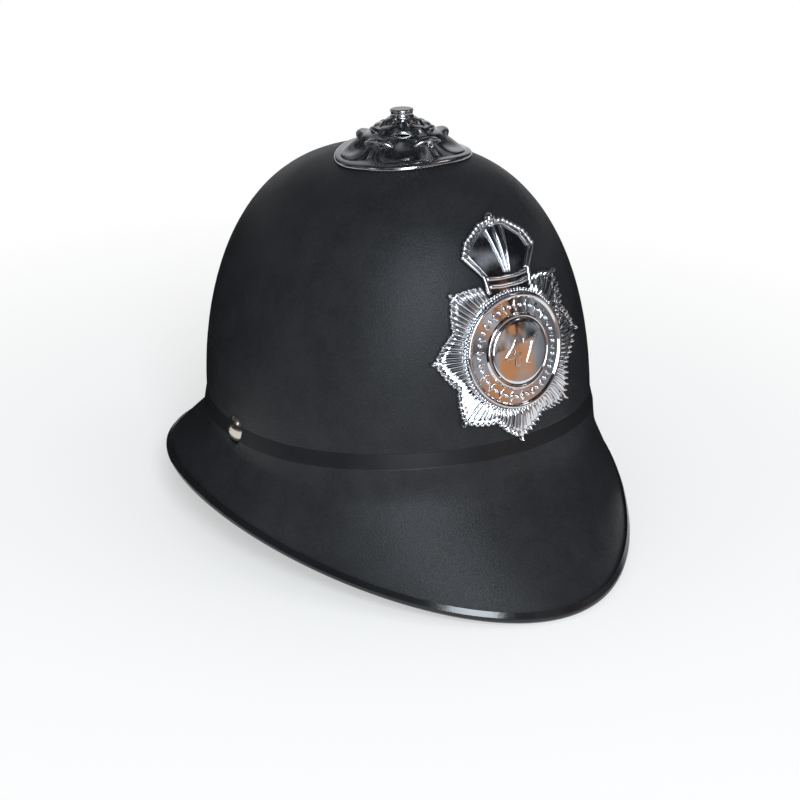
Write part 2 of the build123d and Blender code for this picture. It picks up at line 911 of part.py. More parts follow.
def make_boss_nut():
    """Hexagon nut on the stud."""
    top = -wall - boss_washer_thickness
    face = RegularPolygon(nut_across / 2.0, 6, major_radius=False) - Circle(stud_radius)
    return boss_at(top - nut_height, extrude(face, nut_height))


def wrap_point(across, rise):
    """x and height of a badge point laid along the crown's front surface."""
    height = badge_centre
    walked = 0.0
    direction = 1.0 if rise > 0.0 else -1.0
    while walked < abs(rise):
        nearer = front_y(0.0, max(height, 0.0), 0.0)
        further = front_y(0.0, max(height + direction * walk_step, 0.0), 0.0)
        walked = walked + hypot(walk_step, further - nearer)
        height = height + direction * walk_step
    height = height - direction * (walked - abs(rise))
    x = 0.0
    walked = 0.0
    level = max(height, 0.0)
    while walked < abs(across):
        walked = walked + hypot(walk_step, front_y(x + walk_step, level, 0.0) - front_y(x, level, 0.0))
        x = x + walk_step
    x = x - (walked - abs(across))
    return (x if across > 0.0 else -x), height


def badge_face(points):
    """Face in the XZ plane from badge points laid on the crown."""
    spots = [wrap_point(across, rise) for across, rise in points]
    return make_face(Polyline(*[(x, 0.0, height) for x, height in spots], close=True))


def badge_ring_face(radius):
    """Round badge outline laid on the crown."""
    spots = []
    for step in range(ring_steps):
        angle = 2.0 * pi * step / ring_steps
        x, height = wrap_point(radius * sin(angle), radius * cos(angle))
        spots.append((x, 0.0, height))
    return make_face(Edge.make_spline([Vector(*spot) for spot in spots], periodic=True))


def badge_layer(face, low, high):
    """Part of the layer between two distances off the crown that a face covers."""
    block = Pos(0.0, -badge_back, 0.0) * extrude(face, badge_depth, dir=(0.0, -1.0, 0.0))
    return (block & crown_form(-high)) - crown_form(-low)


def make_badge_plate():
    """Star with the crown emblem above it and three posts behind."""
    points = []
    for step in range(2 * star_points):
        angle = pi * step / star_points
        radius = star_valley if step % 2 else star_radius
        points.append((radius * sin(angle), radius * cos(angle)))
    star = badge_face(points)
    right = list(emblem_outline)
    left = [(-across, rise) for across, rise in reversed(right)]
    emblem = badge_face(right + left)
    finial_x, finial_height = wrap_point(0.0, finial_rise)
    finial = Plane.XZ * Pos(finial_x, finial_height) * Circle(finial_radius)
    high = badge_gap + star_thickness
    plate = badge_layer(star, badge_gap, high)
    plate = plate + badge_layer(emblem, badge_gap, high)
    plate = plate + badge_layer(finial, badge_gap, high)
    for x, height in post_spots:
        end = clip_face_y(x, height) + clip_thickness + post_end
        start = front_y(x, height, -badge_gap) - star_thickness / 2.0
        plate = plate + front_rod(x, height, post_radius, start, end)
    return plate


def make_badge_ring():
    """Title ring with a sunk channel between two rims."""
    low = badge_gap + star_thickness + fit_gap
    high = low + ring_rise
    face = badge_ring_face(ring_radius) - badge_ring_face(ring_hole_radius)
    ring = badge_layer(face, low, high)
    channel = badge_ring_face(ring_radius - ring_rim) - badge_ring_face(ring_hole_radius + ring_rim)
    return ring - badge_layer(channel, high - ring_channel_depth, high + overrun)


def make_badge_disc():
    """Plain centre disc."""
    low = badge_gap + star_thickness + fit_gap
    return badge_layer(badge_ring_face(disc_radius), low, low + disc_rise)


def make_badge_clips():
    """Three push-on clips that hold the badge posts inside the shell."""
    clips = []
    for x, height in post_spots:
        start = clip_face_y(x, height)
        disc = front_rod(x, height, clip_radius, start, start + clip_thickness)
        clips.append(disc - front_rod(x, height, post_radius, start - overrun, start + overrun))
    return Compound(children=clips)


def rest_angle():
    """Angle that sets the front and rear of the brim on one level."""
    _, front, front_height = brim_point(0.0)
    _, rear, rear_height = brim_point(pi)
    return -degrees(atan2(rear_height - front_height, rear - front))


def main():
    """Make every piece, stand the helmet on its brim and write the files."""
    pieces = {
        "shell": make_shell(),
        "edge_trim": both_halves(trim_section),
        "rivet_right": make_rivet(-1.0),
        "rivet_left": make_rivet(1.0),
        "rivet_washer_right": make_rivet_washer(-1.0),
        "rivet_washer_left": make_rivet_washer(1.0),
        "chin_strap_right": swing_to_rest(make_strap_right()),
        "chin_strap_left": swing_to_rest(make_strap_left()),
        "buckle_frame": swing_to_rest(make_buckle_frame()),
        "buckle_prong": swing_to_rest(make_buckle_prong()),
        "strap_keeper": swing_to_rest(make_keeper()),
        "headband": make_headband(),
        "sweatband": make_sweatband(),
        "harness_keys": make_keys(),
        "cradle_strap_long": make_cradle_long(),
        "cradle_strap_cross": make_cradle_cross(),
        "cradle_pins": make_cradle_pins(),
        "boss_rose": make_boss_rose(),
        "boss_button": make_boss_button(),
        "boss_stud": make_boss_stud(),
        "boss_washer": make_boss_washer(),
        "boss_nut": make_boss_nut(),
        "badge_plate": make_badge_plate(),
        "badge_ring": make_badge_ring(),
        "badge_disc": make_badge_disc(),
        "badge_clips": make_badge_clips(),
    }
    tilt = Rotation(rest_angle(), 0.0, 0.0)
    box = pieces["edge_trim"].moved(tilt).bounding_box()
    stand = Pos(0.0, -(box.min.Y + box.max.Y) / 2.0, -box.min.Z) * tilt
    for name, shape in pieces.items():
        placed = [solid.moved(stand) for solid in shape.solids()]
        whole = placed[0] if len(placed) == 1 else Compound(children=placed)
        export_step(whole, "parts/" + name + ".step")


main()
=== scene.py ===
import math

import bmesh
import bpy
import numpy as np
from mathutils import Matrix, Vector


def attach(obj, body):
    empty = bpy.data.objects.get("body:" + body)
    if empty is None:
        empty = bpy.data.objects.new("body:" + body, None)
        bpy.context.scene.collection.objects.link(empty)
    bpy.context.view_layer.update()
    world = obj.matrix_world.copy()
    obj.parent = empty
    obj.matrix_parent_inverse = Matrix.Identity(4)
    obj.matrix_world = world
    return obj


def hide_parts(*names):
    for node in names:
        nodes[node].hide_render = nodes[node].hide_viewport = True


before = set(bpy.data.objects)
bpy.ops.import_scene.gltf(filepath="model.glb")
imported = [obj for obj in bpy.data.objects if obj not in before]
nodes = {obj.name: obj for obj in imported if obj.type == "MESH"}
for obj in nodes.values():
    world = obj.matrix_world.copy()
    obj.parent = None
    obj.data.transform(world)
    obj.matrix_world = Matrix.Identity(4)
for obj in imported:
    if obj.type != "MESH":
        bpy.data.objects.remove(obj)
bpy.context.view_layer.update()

# Sizes of the helmet, in millimetres, in the frame of its shoulder band
crown_height = 132.0
half_width = 98.0
front_reach = 92.0
rear_reach = 128.0
apex_forward = 5.6
boss_forward = 1.0
seat_height = 130.0
crown_side_shares = (1.83, 2.49)
crown_front_shares = (2.87, 2.46)
crown_rear_shares = (2.46, 2.73)
badge_centre = 44.8

# How the helmet stands: tilt about X, then a shift to the floor
stand_tilt = math.radians(-7.1153957)
stand_shift = np.array([0.0, -5.26020672, 64.92804100])

# The photograph's camera, round a point over the band
view_turn = -35.743
view_rise = 16.369
view_roll = -1.708
view_target = (0.0, 0.0, 60.0)
view_distance = 1100.0
view_scale = 1.916
view_middle = (405.7, 281.4)
image_side = 800.0

# Places

tilt_cos = math.cos(stand_tilt)
tilt_sin = math.sin(stand_tilt)
tilt = np.array([[1.0, 0.0, 0.0], [0.0, tilt_cos, -tilt_sin], [0.0, tilt_sin, tilt_cos]])


def unit(vectors):
    """Vectors brought to length one."""
    return vectors / np.linalg.norm(vectors, axis=-1, keepdims=True)


def walk(line):
    """Distance walked from the start to each point of a flat line."""
    return np.concatenate([[0.0], np.cumsum(np.hypot(*np.diff(line, axis=0).T))])


def once_round(count):
    """Even angles once round a circle."""
    return np.linspace(0.0, 2.0 * math.pi, count, endpoint=False)


def stand(points):
    """Band frame in millimetres to the row's frame in metres: the tilt, then the shift."""
    return (np.asarray(points, float) @ tilt.T + stand_shift) / 1000.0


def fall(share, powers):
    """Width share left at a height share of the crown, by a superellipse rule."""
    return (1.0 - np.clip(share, 0.0, 1.0) ** powers[0]) ** (1.0 / powers[1])


def crown_level(share):
    """Width share, y of the widest place and front y of the crown, at a share of its height."""
    side = fall(share, crown_side_shares)
    front = -apex_forward - (front_reach - apex_forward) * fall(share, crown_front_shares)
    return side, -apex_forward * (1.0 - side), front


def crown_front(x, height):
    """Front y of the crown: half an ellipse across, whose axes fall with height."""
    side, widest, front = crown_level(height / crown_height)
    return widest - (widest - front) * np.sqrt(np.maximum(1.0 - (x / (half_width * side)) ** 2, 0.0))


def crown_top(bearing, radius):
    """Height of the crown at a radius round the boss's axis: the share whose ellipse passes there."""
    x = radius * np.sin(bearing)
    y = -boss_forward - radius * np.cos(bearing)
    low = np.full(np.shape(x), 0.5)
    high = np.full(np.shape(x), 0.9999)
    for _ in range(26):
        share = (low + high) / 2.0
        side, widest, front = crown_level(share)
        rear = -apex_forward + (rear_reach + apex_forward) * fall(share, crown_rear_shares)
        reach = np.where(y < widest, widest - front, rear - widest)
        inside = (x / (half_width * side)) ** 2 + ((y - widest) / reach) ** 2 < 1.0
        low = np.where(inside, share, low)
        high = np.where(inside, high, share)
    return np.minimum(crown_height * low, seat_height)


badge_levels = np.linspace(-10.0, 126.0, 681)
badge_rises = walk(np.stack([badge_levels, crown_front(0.0, np.maximum(badge_levels, 0.0))], 1))
badge_rises -= np.interp(badge_centre, badge_levels, badge_rises)
wrap_steps = np.linspace(0.0, 60.0, 241)


def on_badge(across, rise, lift):
    """Badge point to the row's frame: walked up the crown's front, then across, then off it."""
    across, rise, lift = np.broadcast_arrays(across, rise, lift)
    shape = across.shape
    across, rise, lift = across.ravel(), rise.ravel(), lift.ravel()
    level = np.interp(rise, badge_rises, badge_levels)
    rows = np.linspace(0.0, level.max() + 1.0, 90)
    fronts = crown_front(wrap_steps[None, :], rows[:, None])
    walked = np.cumsum(np.hypot(np.diff(wrap_steps)[None, :], np.diff(fronts, axis=1)), axis=1)
    walked = np.concatenate([np.zeros((len(rows), 1)), walked], 1)
    table = np.stack([np.interp(wrap_steps, w, wrap_steps) for w in walked])
    row = np.clip(np.maximum(level, 0.0) / rows[1], 0.0, len(rows) - 1.001)
    step = np.clip(np.abs(across) / wrap_steps[1], 0.0, len(wrap_steps) - 1.001)
    i, j = row.astype(int), step.astype(int)
    u, v = row - i, step - j
    x = (table[i, j] * (1 - v) + table[i, j + 1] * v) * (1 - u)
    x = (x + (table[i + 1, j] * (1 - v) + table[i + 1, j + 1] * v) * u) * np.sign(across)
    small = 0.05
    held = np.maximum(level, small)
    slope_x = (crown_front(x + small, held) - crown_front(x - small, held)) / (2.0 * small)
    slope_z = (crown_front(x, held + small) - crown_front(x, held - small)) / (2.0 * small)
    out = np.stack([slope_x, -np.ones_like(x), np.where(level > 0.0, slope_z, 0.0)], 1)
    points = np.stack([x, crown_front(x, np.maximum(level, 0.0)), level], 1) + lift[:, None] * unit(out)
    return stand(points).reshape(shape + (3,))


# Meshes

def grid_faces(rows, columns, close_rows=False, close_columns=False):
    """Quads between neighbours of a rows by columns grid, joined round where it closes."""
    down = np.arange(rows if close_rows else rows - 1)
    along = np.arange(columns if close_columns else columns - 1)
    i, j = np.meshgrid(down, along, indexing="ij")
    i, j = i.ravel(), j.ravel()
    below, beside = (i + 1) % rows, (j + 1) % columns
    corners = [i * columns + j, i * columns + beside, below * columns + beside, below * columns + j]
    return np.stack(corners, 1).tolist()


def skin(points, close_rows=False):
    """Closed skin over a grid of points: rows of loops, with a flat cap on each open end."""
    rows, columns = points.shape[:2]
    faces = grid_faces(rows, columns, close_rows, close_columns=True)
    if not close_rows:
        faces = faces + [list(range(columns)), list(range((rows - 1) * columns, rows * columns))]
    return points.reshape(-1, 3), faces


def joined(forms):
    """Several forms as one."""
    points, faces, start = [], [], 0
    for form_points, form_faces in forms:
        points.append(form_points)
        faces = faces + [[start + corner for corner in face] for face in form_faces]
        start = start + len(form_points)
    return np.concatenate(points), faces


def set_map(mesh, spots):
    """Map of metres along and across, one spot a vertex; a face over the seam takes the far end."""
    corners = np.empty(len(mesh.loops), int)
    mesh.loops.foreach_get("vertex_index", corners)
    starts = np.empty(len(mesh.polygons), int)
    mesh.polygons.foreach_get("loop_start", starts)
    counts = np.diff(np.append(starts, len(corners)))
    spread = spots[corners].copy()
    span = spots[:, 0].max() - spots[:, 0].min()
    reach = np.maximum.reduceat(spread[:, 0], starts) - np.minimum.reduceat(spread[:, 0], starts)
    over = np.repeat((reach > span / 2.0) & (counts == 4), counts) & (spread[:, 0] < span / 2.0)
    spread[over, 0] += span
    mesh.uv_layers.new(name="along").data.foreach_set("uv", spread.ravel())


def new_object(name, data):
    """One more object in the scene."""
    made = bpy.data.objects.new(name, data)
    bpy.context.scene.collection.objects.link(made)
    return made


def mesh_piece(name, form, body, finish, crease=35.0, spots=None):
    """One object from a closed form in metres: doubles merged, faces outward, riding on a body."""
    points, faces = form
    mesh = bpy.data.meshes.new(name)
    mesh.from_pydata(points.tolist(), [], faces)
    if spots is not None:
        set_map(mesh, spots)
    work = bmesh.new()
    work.from_mesh(mesh)
    bmesh.ops.remove_doubles(work, verts=work.verts, dist=1e-6)
    bmesh.ops.dissolve_degenerate(work, edges=work.edges, dist=1e-7)
    bmesh.ops.recalc_face_normals(work, faces=work.faces)
    work.to_mesh(mesh)
    work.free()
    mesh.polygons.foreach_set("use_smooth", [True] * len(mesh.polygons))
    mesh.set_sharp_from_angle(angle=math.radians(crease))
    mesh.materials.append(finish)
    piece = new_object(name, mesh)
    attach(piece, body)
    return piece


def tube(line, radius, out, sides=12):
    """Round bar along a line: circles between the side direction and the outward one."""
    ahead = unit(np.gradient(line, axis=0))
    side = unit(np.cross(ahead, out))
    up = np.cross(side, ahead)
    turn = once_round(sides)[None, :, None]
    radius = np.broadcast_to(radius, (len(line),))[:, None, None]
    points = line[:, None] + radius * (np.cos(turn) * side[:, None] + np.sin(turn) * up[:, None])
    return skin(points)


def beads(centres, radius, rings=5, sides=8):
    """Round beads: each ring of a ball is a circle whose radius is the sine of its angle."""
    tall = np.linspace(0.0, math.pi, rings + 2)[1:-1, None]
    turn = once_round(sides)[None, :]
    ball = np.stack([np.sin(tall) * np.cos(turn), np.sin(tall) * np.sin(turn), np.cos(tall) + 0 * turn], -1)
    radius = np.broadcast_to(radius, (len(centres),))
    return joined([skin(centre + r * ball) for centre, r in zip(centres, radius)])


# Finishes

class Value:
    """A node's output; arithmetic on it adds Math nodes."""

    def __init__(self, finish, socket):
        self.finish = finish
        self.socket = socket

    def math(self, operation, *others):
        inputs = dict(enumerate((self,) + others))
        return self.finish.node("Math", {"operation": operation}, inputs)

    def __add__(self, other):
        return self.math("ADD", other)

    def __sub__(self, other):
        return self.math("SUBTRACT", other)

    def __rsub__(self, other):
        return self.finish.node("Math", {"operation": "SUBTRACT"}, {0: other, 1: self})

    def __mul__(self, other):
        return self.math("MULTIPLY", other)

    def __truediv__(self, other):
        return self.math("DIVIDE", other)


class Finish:
    """A material in the making: its nodes and the surface that they feed."""

    def __init__(self, name, **constants):
        self.material = bpy.data.materials.new(name)
        self.material.use_nodes = True
        self.tree = self.material.node_tree
        self.surface = self.tree.nodes["Principled BSDF"]
        for socket, value in constants.items():
            self.surface.inputs[socket.replace("_", " ")].default_value = value

    def node(self, kind, settings=None, inputs=None, output=0):
        """Adds a node, sets it, fills or joins its sockets and gives one of its outputs."""
        made = self.tree.nodes.new("ShaderNode" + kind)
        for name, value in (settings or {}).items():
            if name == "stops":
                self.set_stops(made.color_ramp, value)
            else:
                setattr(made, name, value)
        for name, value in (inputs or {}).items():
            if isinstance(value, Value):
                self.tree.links.new(value.socket, made.inputs[name])
            else:
                made.inputs[name].default_value = value
        return Value(self, made.outputs[output])

    def set_stops(self, ramp, stops):
        """Colour stops of a ramp, each a place and a colour."""
        while len(ramp.elements) < len(stops):
            ramp.elements.new(0.5)
        for element, (place, colour) in zip(ramp.elements, stops):
            element.position = place
            element.color = colour

    def feed(self, **links):
        """Joins values to the surface's own sockets."""
        for name, value in links.items():
            self.tree.links.new(value.socket, self.surface.inputs[name.replace("_", " ")])

    def place(self):
        """Object coordinates."""
        return self.node("TexCoord", output="Object")

    def part(self, vector, axis):
        """One of a vector's three numbers."""
        return self.node("SeparateXYZ", inputs={0: vector}, output=axis)

    def dot(self, vector, direction):
        """How far a vector goes in a direction."""
        inputs = {0: vector, 1: direction}
        return self.node("VectorMath", {"operation": "DOT_PRODUCT"}, inputs, output="Value")

    def noise(self, vector, scale, detail=2.0, roughness=0.5):
        """Cloudy value round a half."""
        inputs = {"Vector": vector, "Scale": scale, "Detail": detail, "Roughness": roughness}
        return self.node("TexNoise", inputs=inputs)

    def cells(self, vector, scale):
        """Distance to the nearest of scattered points."""
        return self.node("TexVoronoi", inputs={"Vector": vector, "Scale": scale})

    def between(self, value, low, high, start=0.0, end=1.0):
        """Value carried from one range to another, held at both ends."""
        inputs = {"Value": value, "From Min": low, "From Max": high, "To Min": start, "To Max": end}
        return self.node("MapRange", inputs=inputs)

    def blend(self, share, first, second):
        """Colour mixed from two by a share."""
        made = self.tree.nodes.new("ShaderNodeMix")
        made.data_type = "RGBA"
        sockets = (made.inputs[0], made.inputs[6], made.inputs[7])
        for socket, value in zip(sockets, (share, first, second)):
            if isinstance(value, Value):
                self.tree.links.new(value.socket, socket)
            else:
                socket.default_value = value
        return Value(self, made.outputs[2])

    def bump(self, height, distance):
        """Surface normal from a height, in metres of depth."""
        return self.node("Bump", inputs={"Height": height, "Distance": distance, "Strength": 1.0})


def shell_finish():
    """Black moulded plastic: fine grain outside, smooth on the shoulder band, with faint dust. The shoulder
    band is also painted darker, as painted shade.
    """
    finish = Finish("shell_plastic", Roughness=0.4, IOR=1.5, Specular_IOR_Level=0.2)
    place = finish.place()
    shift = tuple(stand_shift / 1000.0)
    local = finish.node("VectorMath", {"operation": "SUBTRACT"}, {0: place, 1: shift})
    height = finish.dot(local, (0.0, -tilt_sin, tilt_cos))
    band = finish.between(height, -0.0078, -0.0074) * finish.between(height, 0.0, 0.0004, 1.0, 0.0)
    grain = finish.cells(place, 1900.0)
    broad = finish.noise(place, 900.0, 3.0)
    grainy = (grain * 0.6 + broad * 0.7) * (1.0 - band)
    mottle = finish.noise(place, 60.0, 4.0, 0.6)
    dust = finish.noise(place, 900.0, 2.0)
    tone = finish.between(mottle * 0.5 + dust * 0.5, 0.35, 0.7)
    colour = finish.blend(tone, (0.012, 0.0125, 0.014, 1.0), (0.021, 0.022, 0.025, 1.0))
    # painted shade: the shoulder band's colour is drawn towards near black, darker than the rest of the shell
    colour = finish.blend(band * 0.6, colour, (0.008, 0.008, 0.009, 1.0))
    rough = finish.between(mottle, 0.3, 0.7, 0.37, 0.44) - band * 0.04
    finish.feed(Base_Color=colour, Roughness=rough, Normal=finish.bump(grainy, 0.00016))
    return finish.material


def metal_finish(name, colour, roughness):
    """Plated metal: faint uneven polish and small marks."""
    finish = Finish(name, Metallic=1.0, Roughness=roughness)
    place = finish.place()
    cloud = finish.noise(place, 90.0, 3.0)
    marks = finish.noise(place, 500.0, 2.0)
    darker = tuple(0.86 * c for c in colour) + (1.0,)
    shade = finish.blend(finish.between(cloud, 0.35, 0.65), darker, colour + (1.0,))
    rough = finish.between(marks, 0.3, 0.7, roughness * 0.7, roughness * 1.5)
    finish.feed(Base_Color=shade, Roughness=rough, Normal=finish.bump(marks, 0.00001))
    return finish.material


def plastic_finish(name, colour, roughness, grain_scale, grain_depth):
    """Plain moulded plastic with a fine grain."""
    finish = Finish(name, Roughness=roughness)
    place = finish.place()
    grain = finish.noise(place, grain_scale, 3.0)
    cloud = finish.noise(place, 40.0, 3.0)
    lighter = tuple(1.35 * c for c in colour) + (1.0,)
    shade = finish.blend(finish.between(cloud, 0.3, 0.7), colour + (1.0,), lighter)
    rough = finish.between(cloud, 0.3, 0.7, roughness * 0.85, roughness * 1.15)
    finish.feed(Base_Color=shade, Roughness=rough, Normal=finish.bump(grain, grain_depth))
    return finish.material


def leather_finish(name, colour, roughness, thread, edge, pitch):
    """Grained leather with two stitched lines, on the piece's own map: metres along and across."""
    finish = Finish(name, Roughness=roughness, IOR=1.45)
    place = finish.place()
    mapped = finish.node("UVMap", {"uv_map": "along"})
    along = finish.part(mapped, 0)
    across = finish.part(mapped, 1)
    grain = finish.cells(place, 900.0)
    crease = finish.noise(place, 160.0, 4.0, 0.6)
    off_line = (across.math("ABSOLUTE") - edge).math("ABSOLUTE")
    beat = ((along / pitch).math("FRACT") - 0.5).math("ABSOLUTE")
    stitch = finish.between(off_line, 0.0003, 0.00055, 1.0, 0.0) * finish.between(beat, 0.32, 0.4, 1.0, 0.0)
    groove = finish.between(off_line, 0.0004, 0.001, 1.0, 0.0)
    lighter = tuple(1.6 * c for c in colour) + (1.0,)
    shade = finish.blend(finish.between(crease, 0.3, 0.7), colour + (1.0,), lighter)
    shade = finish.blend(stitch, shade, thread + (1.0,))
    height = grain * 0.35 + crease * 0.5 - groove * 0.6 + stitch * 1.1
    rough = finish.between(crease, 0.3, 0.7, roughness * 0.85, roughness * 1.2)
    finish.feed(Base_Color=shade, Roughness=rough, Normal=finish.bump(height, 0.00025))
    return finish.material


def webbing_finish():
    """Woven tape on the piece's own map: fine ribs along it, crossed by the weft, and close edges."""
    finish = Finish("harness_webbing", Roughness=0.85)
    mapped = finish.node("UVMap", {"uv_map": "along"})
    along = finish.part(mapped, 0)
    across = finish.part(mapped, 1)
    weft = (along * 5200.0).math("SINE")
    rib = (across * 4200.0 + weft * 0.9).math("SINE")
    weave = rib * 0.6 + weft * 0.4
    fuzz = finish.noise(finish.place(), 900.0, 3.0)
    selvedge = finish.between(across.math("ABSOLUTE"), 0.0084, 0.0092)
    tone = finish.between(weave * 0.5 + fuzz * 0.5, -0.2, 0.7)
    shade = finish.blend(tone, (0.035, 0.036, 0.038, 1.0), (0.085, 0.086, 0.088, 1.0))
    shade = finish.blend(selvedge * 0.5, shade, (0.03, 0.03, 0.032, 1.0))
    finish.feed(Base_Color=shade, Normal=finish.bump(weave * 0.5 + fuzz * 0.4, 0.0002))
    return finish.material


shell_plastic = shell_finish()
trim_plastic = plastic_finish("trim_plastic", (0.008, 0.008, 0.009), 0.16, 350.0, 0.00003)
badge_chrome = metal_finish("badge_chrome", (0.8, 0.81, 0.84), 0.07)
boss_chrome = metal_finish("boss_chrome", (0.5, 0.51, 0.52), 0.17)
disc_chrome = metal_finish("disc_chrome", (0.84, 0.85, 0.88), 0.06)
emblem_chrome = metal_finish("emblem_chrome", (0.5, 0.51, 0.54), 0.1)
rivet_nickel = metal_finish("rivet_nickel", (0.72, 0.66, 0.57), 0.18)
zinc_steel = metal_finish("zinc_steel", (0.6, 0.61, 0.6), 0.32)
harness_plastic = plastic_finish("harness_plastic", (0.03, 0.03, 0.032), 0.45, 700.0, 0.00005)
strap_leather = leather_finish(
    "strap_leather", (0.014, 0.013, 0.012), 0.42, (0.022, 0.02, 0.019), 0.0062, 0.0032)
band_leather = leather_finish(
    "band_leather", (0.13, 0.066, 0.034), 0.5, (0.3, 0.22, 0.13), 0.0119, 0.003)
webbing = webbing_finish()

finishes = (
    (shell_plastic, ("shell",)),
    (trim_plastic, ("edge_trim",)),
    (rivet_nickel, ("rivet_right", "rivet_left", "buckle_frame", "buckle_prong")),
    (zinc_steel, ("rivet_washer_right", "rivet_washer_left", "badge_clips")),
    (zinc_steel, ("boss_stud", "boss_washer", "boss_nut")),
    (harness_plastic, ("headband", "harness_keys", "cradle_pins")),
    (boss_chrome, ("boss_rose", "boss_button")),
    (badge_chrome, ("badge_plate", "badge_ring", "badge_disc")),
)
for material, node_names in finishes:
    for node_name in node_names:
        for material_slot in nodes[node_name].material_slots:
            material_slot.material = material


# Badge, in millimetres across it, up it and off the crown

back_lift = 0.35
star_field = 2.05
star_inner = 14.0
star_rays = 96
point_rays = 12
ray_samples = 12
point_reach = 46.6
ray_reach = 43.8
notch_depth = 6.4
under_emblem_rays = 7
under_emblem_reach = 31.0
post_radius = 1.6
post_ends = ((-22.0, -82.34, 35.0), (22.0, -82.34, 35.0), (0.0, -74.81, 82.0))
ring_beads = 104
bead_circle = 29.35
channel_marks = 22
channel_circle = 22.4
disc_radius = 16.1
emblem_side = np.array([(12.2, 29.5), (13.2, 38.6), (20.9, 48.8), (17.3, 55.6), (7.4, 63.4), (0.8, 65.0)])


def make_star():
    """Fluted star: its edge steps down from each of 8 points, a ray at a time.

    The rays under the emblem end short. A flat ring backs the star, and three posts stand behind it.
    """
    ray = np.repeat(np.arange(star_rays), ray_samples)
    phase = (np.tile(np.arange(ray_samples), star_rays) + 0.5) / ray_samples - 0.5
    angle = (ray + phase) * 2.0 * math.pi / star_rays
    step = np.minimum(ray % point_rays, point_rays - ray % point_rays)
    round_end = np.sqrt(1.0 - (1.96 * phase) ** 2)
    edge = np.where(step == 0, point_reach, ray_reach - notch_depth * np.maximum(step - 1, 0) / 5.0)
    under_emblem = (ray < under_emblem_rays) | (ray > star_rays - under_emblem_rays)
    edge = np.where(under_emblem, np.minimum(edge, under_emblem_reach), edge) - 1.3 * (1.0 - round_end)
    shares = [0.0, 0.5, 0.535, 0.56, 0.6, 0.68, 0.76, 0.82, 0.86, 0.895, 0.925, 0.95, 0.97, 0.985, 0.996]
    radius = star_inner + (edge - star_inner)[None, :] * np.array(shares)[:, None]
    rise = np.clip((radius - 29.0) / 2.0, 0.0, 1.0)
    gone = edge[None, :] - radius
    rounding = np.sqrt(1.0 - (1.0 - np.clip(gone / 1.1, 0.0, 1.0)) ** 2)
    flute = np.cos(math.pi * phase)[None, :] ** 0.8
    bead = 0.75 * np.exp(-((gone - 1.1) / 0.75) ** 2) - 0.5 * np.exp(-((gone - 2.9) / 0.7) ** 2)
    tall = np.where(step == 0, 1.9, 1.35 + 0.25 * np.cos(math.pi * step))[None, :]
    lift = star_field + rise * ((tall + bead) * flute) * rounding
    radius = np.concatenate([radius, edge[None], edge[None], np.full((1, len(edge)), star_inner)])
    low = np.full((1, len(edge)), back_lift)
    lift = np.concatenate([lift, np.full((1, len(edge)), 1.6), low, low])
    points = on_badge(radius * np.sin(angle), radius * np.cos(angle), lift)
    forms = [skin(points, close_rows=True)]
    backing = star_inner + 1.0
    forms.append(turned_form([(1.0, back_lift), (backing, back_lift), (backing, 1.9), (1.0, 1.9)]))
    for x, end, rise in post_ends:
        along = np.linspace(crown_front(x, rise) - 1.0, end, 4)
        line = stand(np.stack([x + 0.0 * along, along, rise + 0.0 * along], -1))
        forms.append(tube(line, post_radius * 0.001, np.array([0.0, 0.0, 1.0]), 24))
    piece = mesh_piece("star_rays", joined(forms), "helmet", badge_chrome, 50.0)
    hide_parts("badge_plate")


def turned_form(profile, sides=192):
    """Closed profile of radius and lift, carried round the badge's centre."""
    turn = once_round(sides)
    radius, lift = np.array(profile, float).T[:, :, None]
    points = on_badge(radius * np.sin(turn), radius * np.cos(turn), lift + 0.0 * turn)
    return skin(points, close_rows=True)


def make_ring():
    """Ring with two rounded rims, a channel between them and beads and lozenges in the channel."""
    rim = [(16.6, 2.5), (16.6, 4.3), (16.8, 4.7), (17.2, 4.95), (17.8, 4.95), (18.2, 4.7), (18.5, 4.2)]
    floor = [(18.9, 3.8), (20.6, 3.75), (23.8, 3.75), (25.9, 3.8)]
    outer = [(26.3, 4.2), (26.6, 4.7), (27.0, 4.95), (27.7, 4.95), (28.1, 4.7), (28.3, 4.2), (28.3, 2.5)]
    forms = [turned_form(rim + floor + outer)]
    turn = np.arange(ring_beads) * 2.0 * math.pi / ring_beads
    centres = on_badge(bead_circle * np.sin(turn), bead_circle * np.cos(turn), 3.0 + 0.0 * turn)
    forms.append(beads(centres, 0.00083))
    turn = (np.arange(channel_marks) + 0.5) * 2.0 * math.pi / channel_marks
    centres = on_badge(channel_circle * np.sin(turn), channel_circle * np.cos(turn), 4.0 + 0.0 * turn)
    forms.append(beads(centres, 0.00105, 7, 12))
    for place in np.arange(channel_marks) * 2.0 * math.pi / channel_marks:
        forms.append(lozenge(place))
    piece = mesh_piece("badge_ring_detail", joined(forms), "helmet", badge_chrome, 40.0)
    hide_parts("badge_ring")


def lozenge(place):
    """Small four-sided pyramid with a flat top, long side along the radius."""
    corners = np.array([(0.0, 2.6), (1.35, 0.0), (0.0, -2.6), (-1.35, 0.0)])
    rows = []
    for size, lift in ((1.0, 3.6), (1.0, 3.95), (0.72, 4.55), (0.5, 4.65)):
        across = corners[:, 0] * size
        along = channel_circle + corners[:, 1] * size
        x = along * math.sin(place) + across * math.cos(place)
        y = along * math.cos(place) - across * math.sin(place)
        rows.append(on_badge(x, y, np.full(4, lift)))
    return skin(np.stack(rows))


def make_disc():
    """Low domed disc: lift falls with the square of the radius, with a rounded edge."""
    radius = np.array([0.02, 3.0, 6.0, 9.0, 12.0, 14.0, 15.2, 15.8, 16.05, disc_radius, disc_radius, 0.02])
    lift = 5.75 - 0.6 * (radius / disc_radius) ** 2
    lift[7:12] = (5.0, 4.7, 4.3, 2.5, 2.5)
    form = turned_form(np.stack([radius, lift], 1), 128)
    piece = mesh_piece("badge_disc_detail", form, "helmet", disc_chrome, 50.0)
    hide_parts("badge_disc")


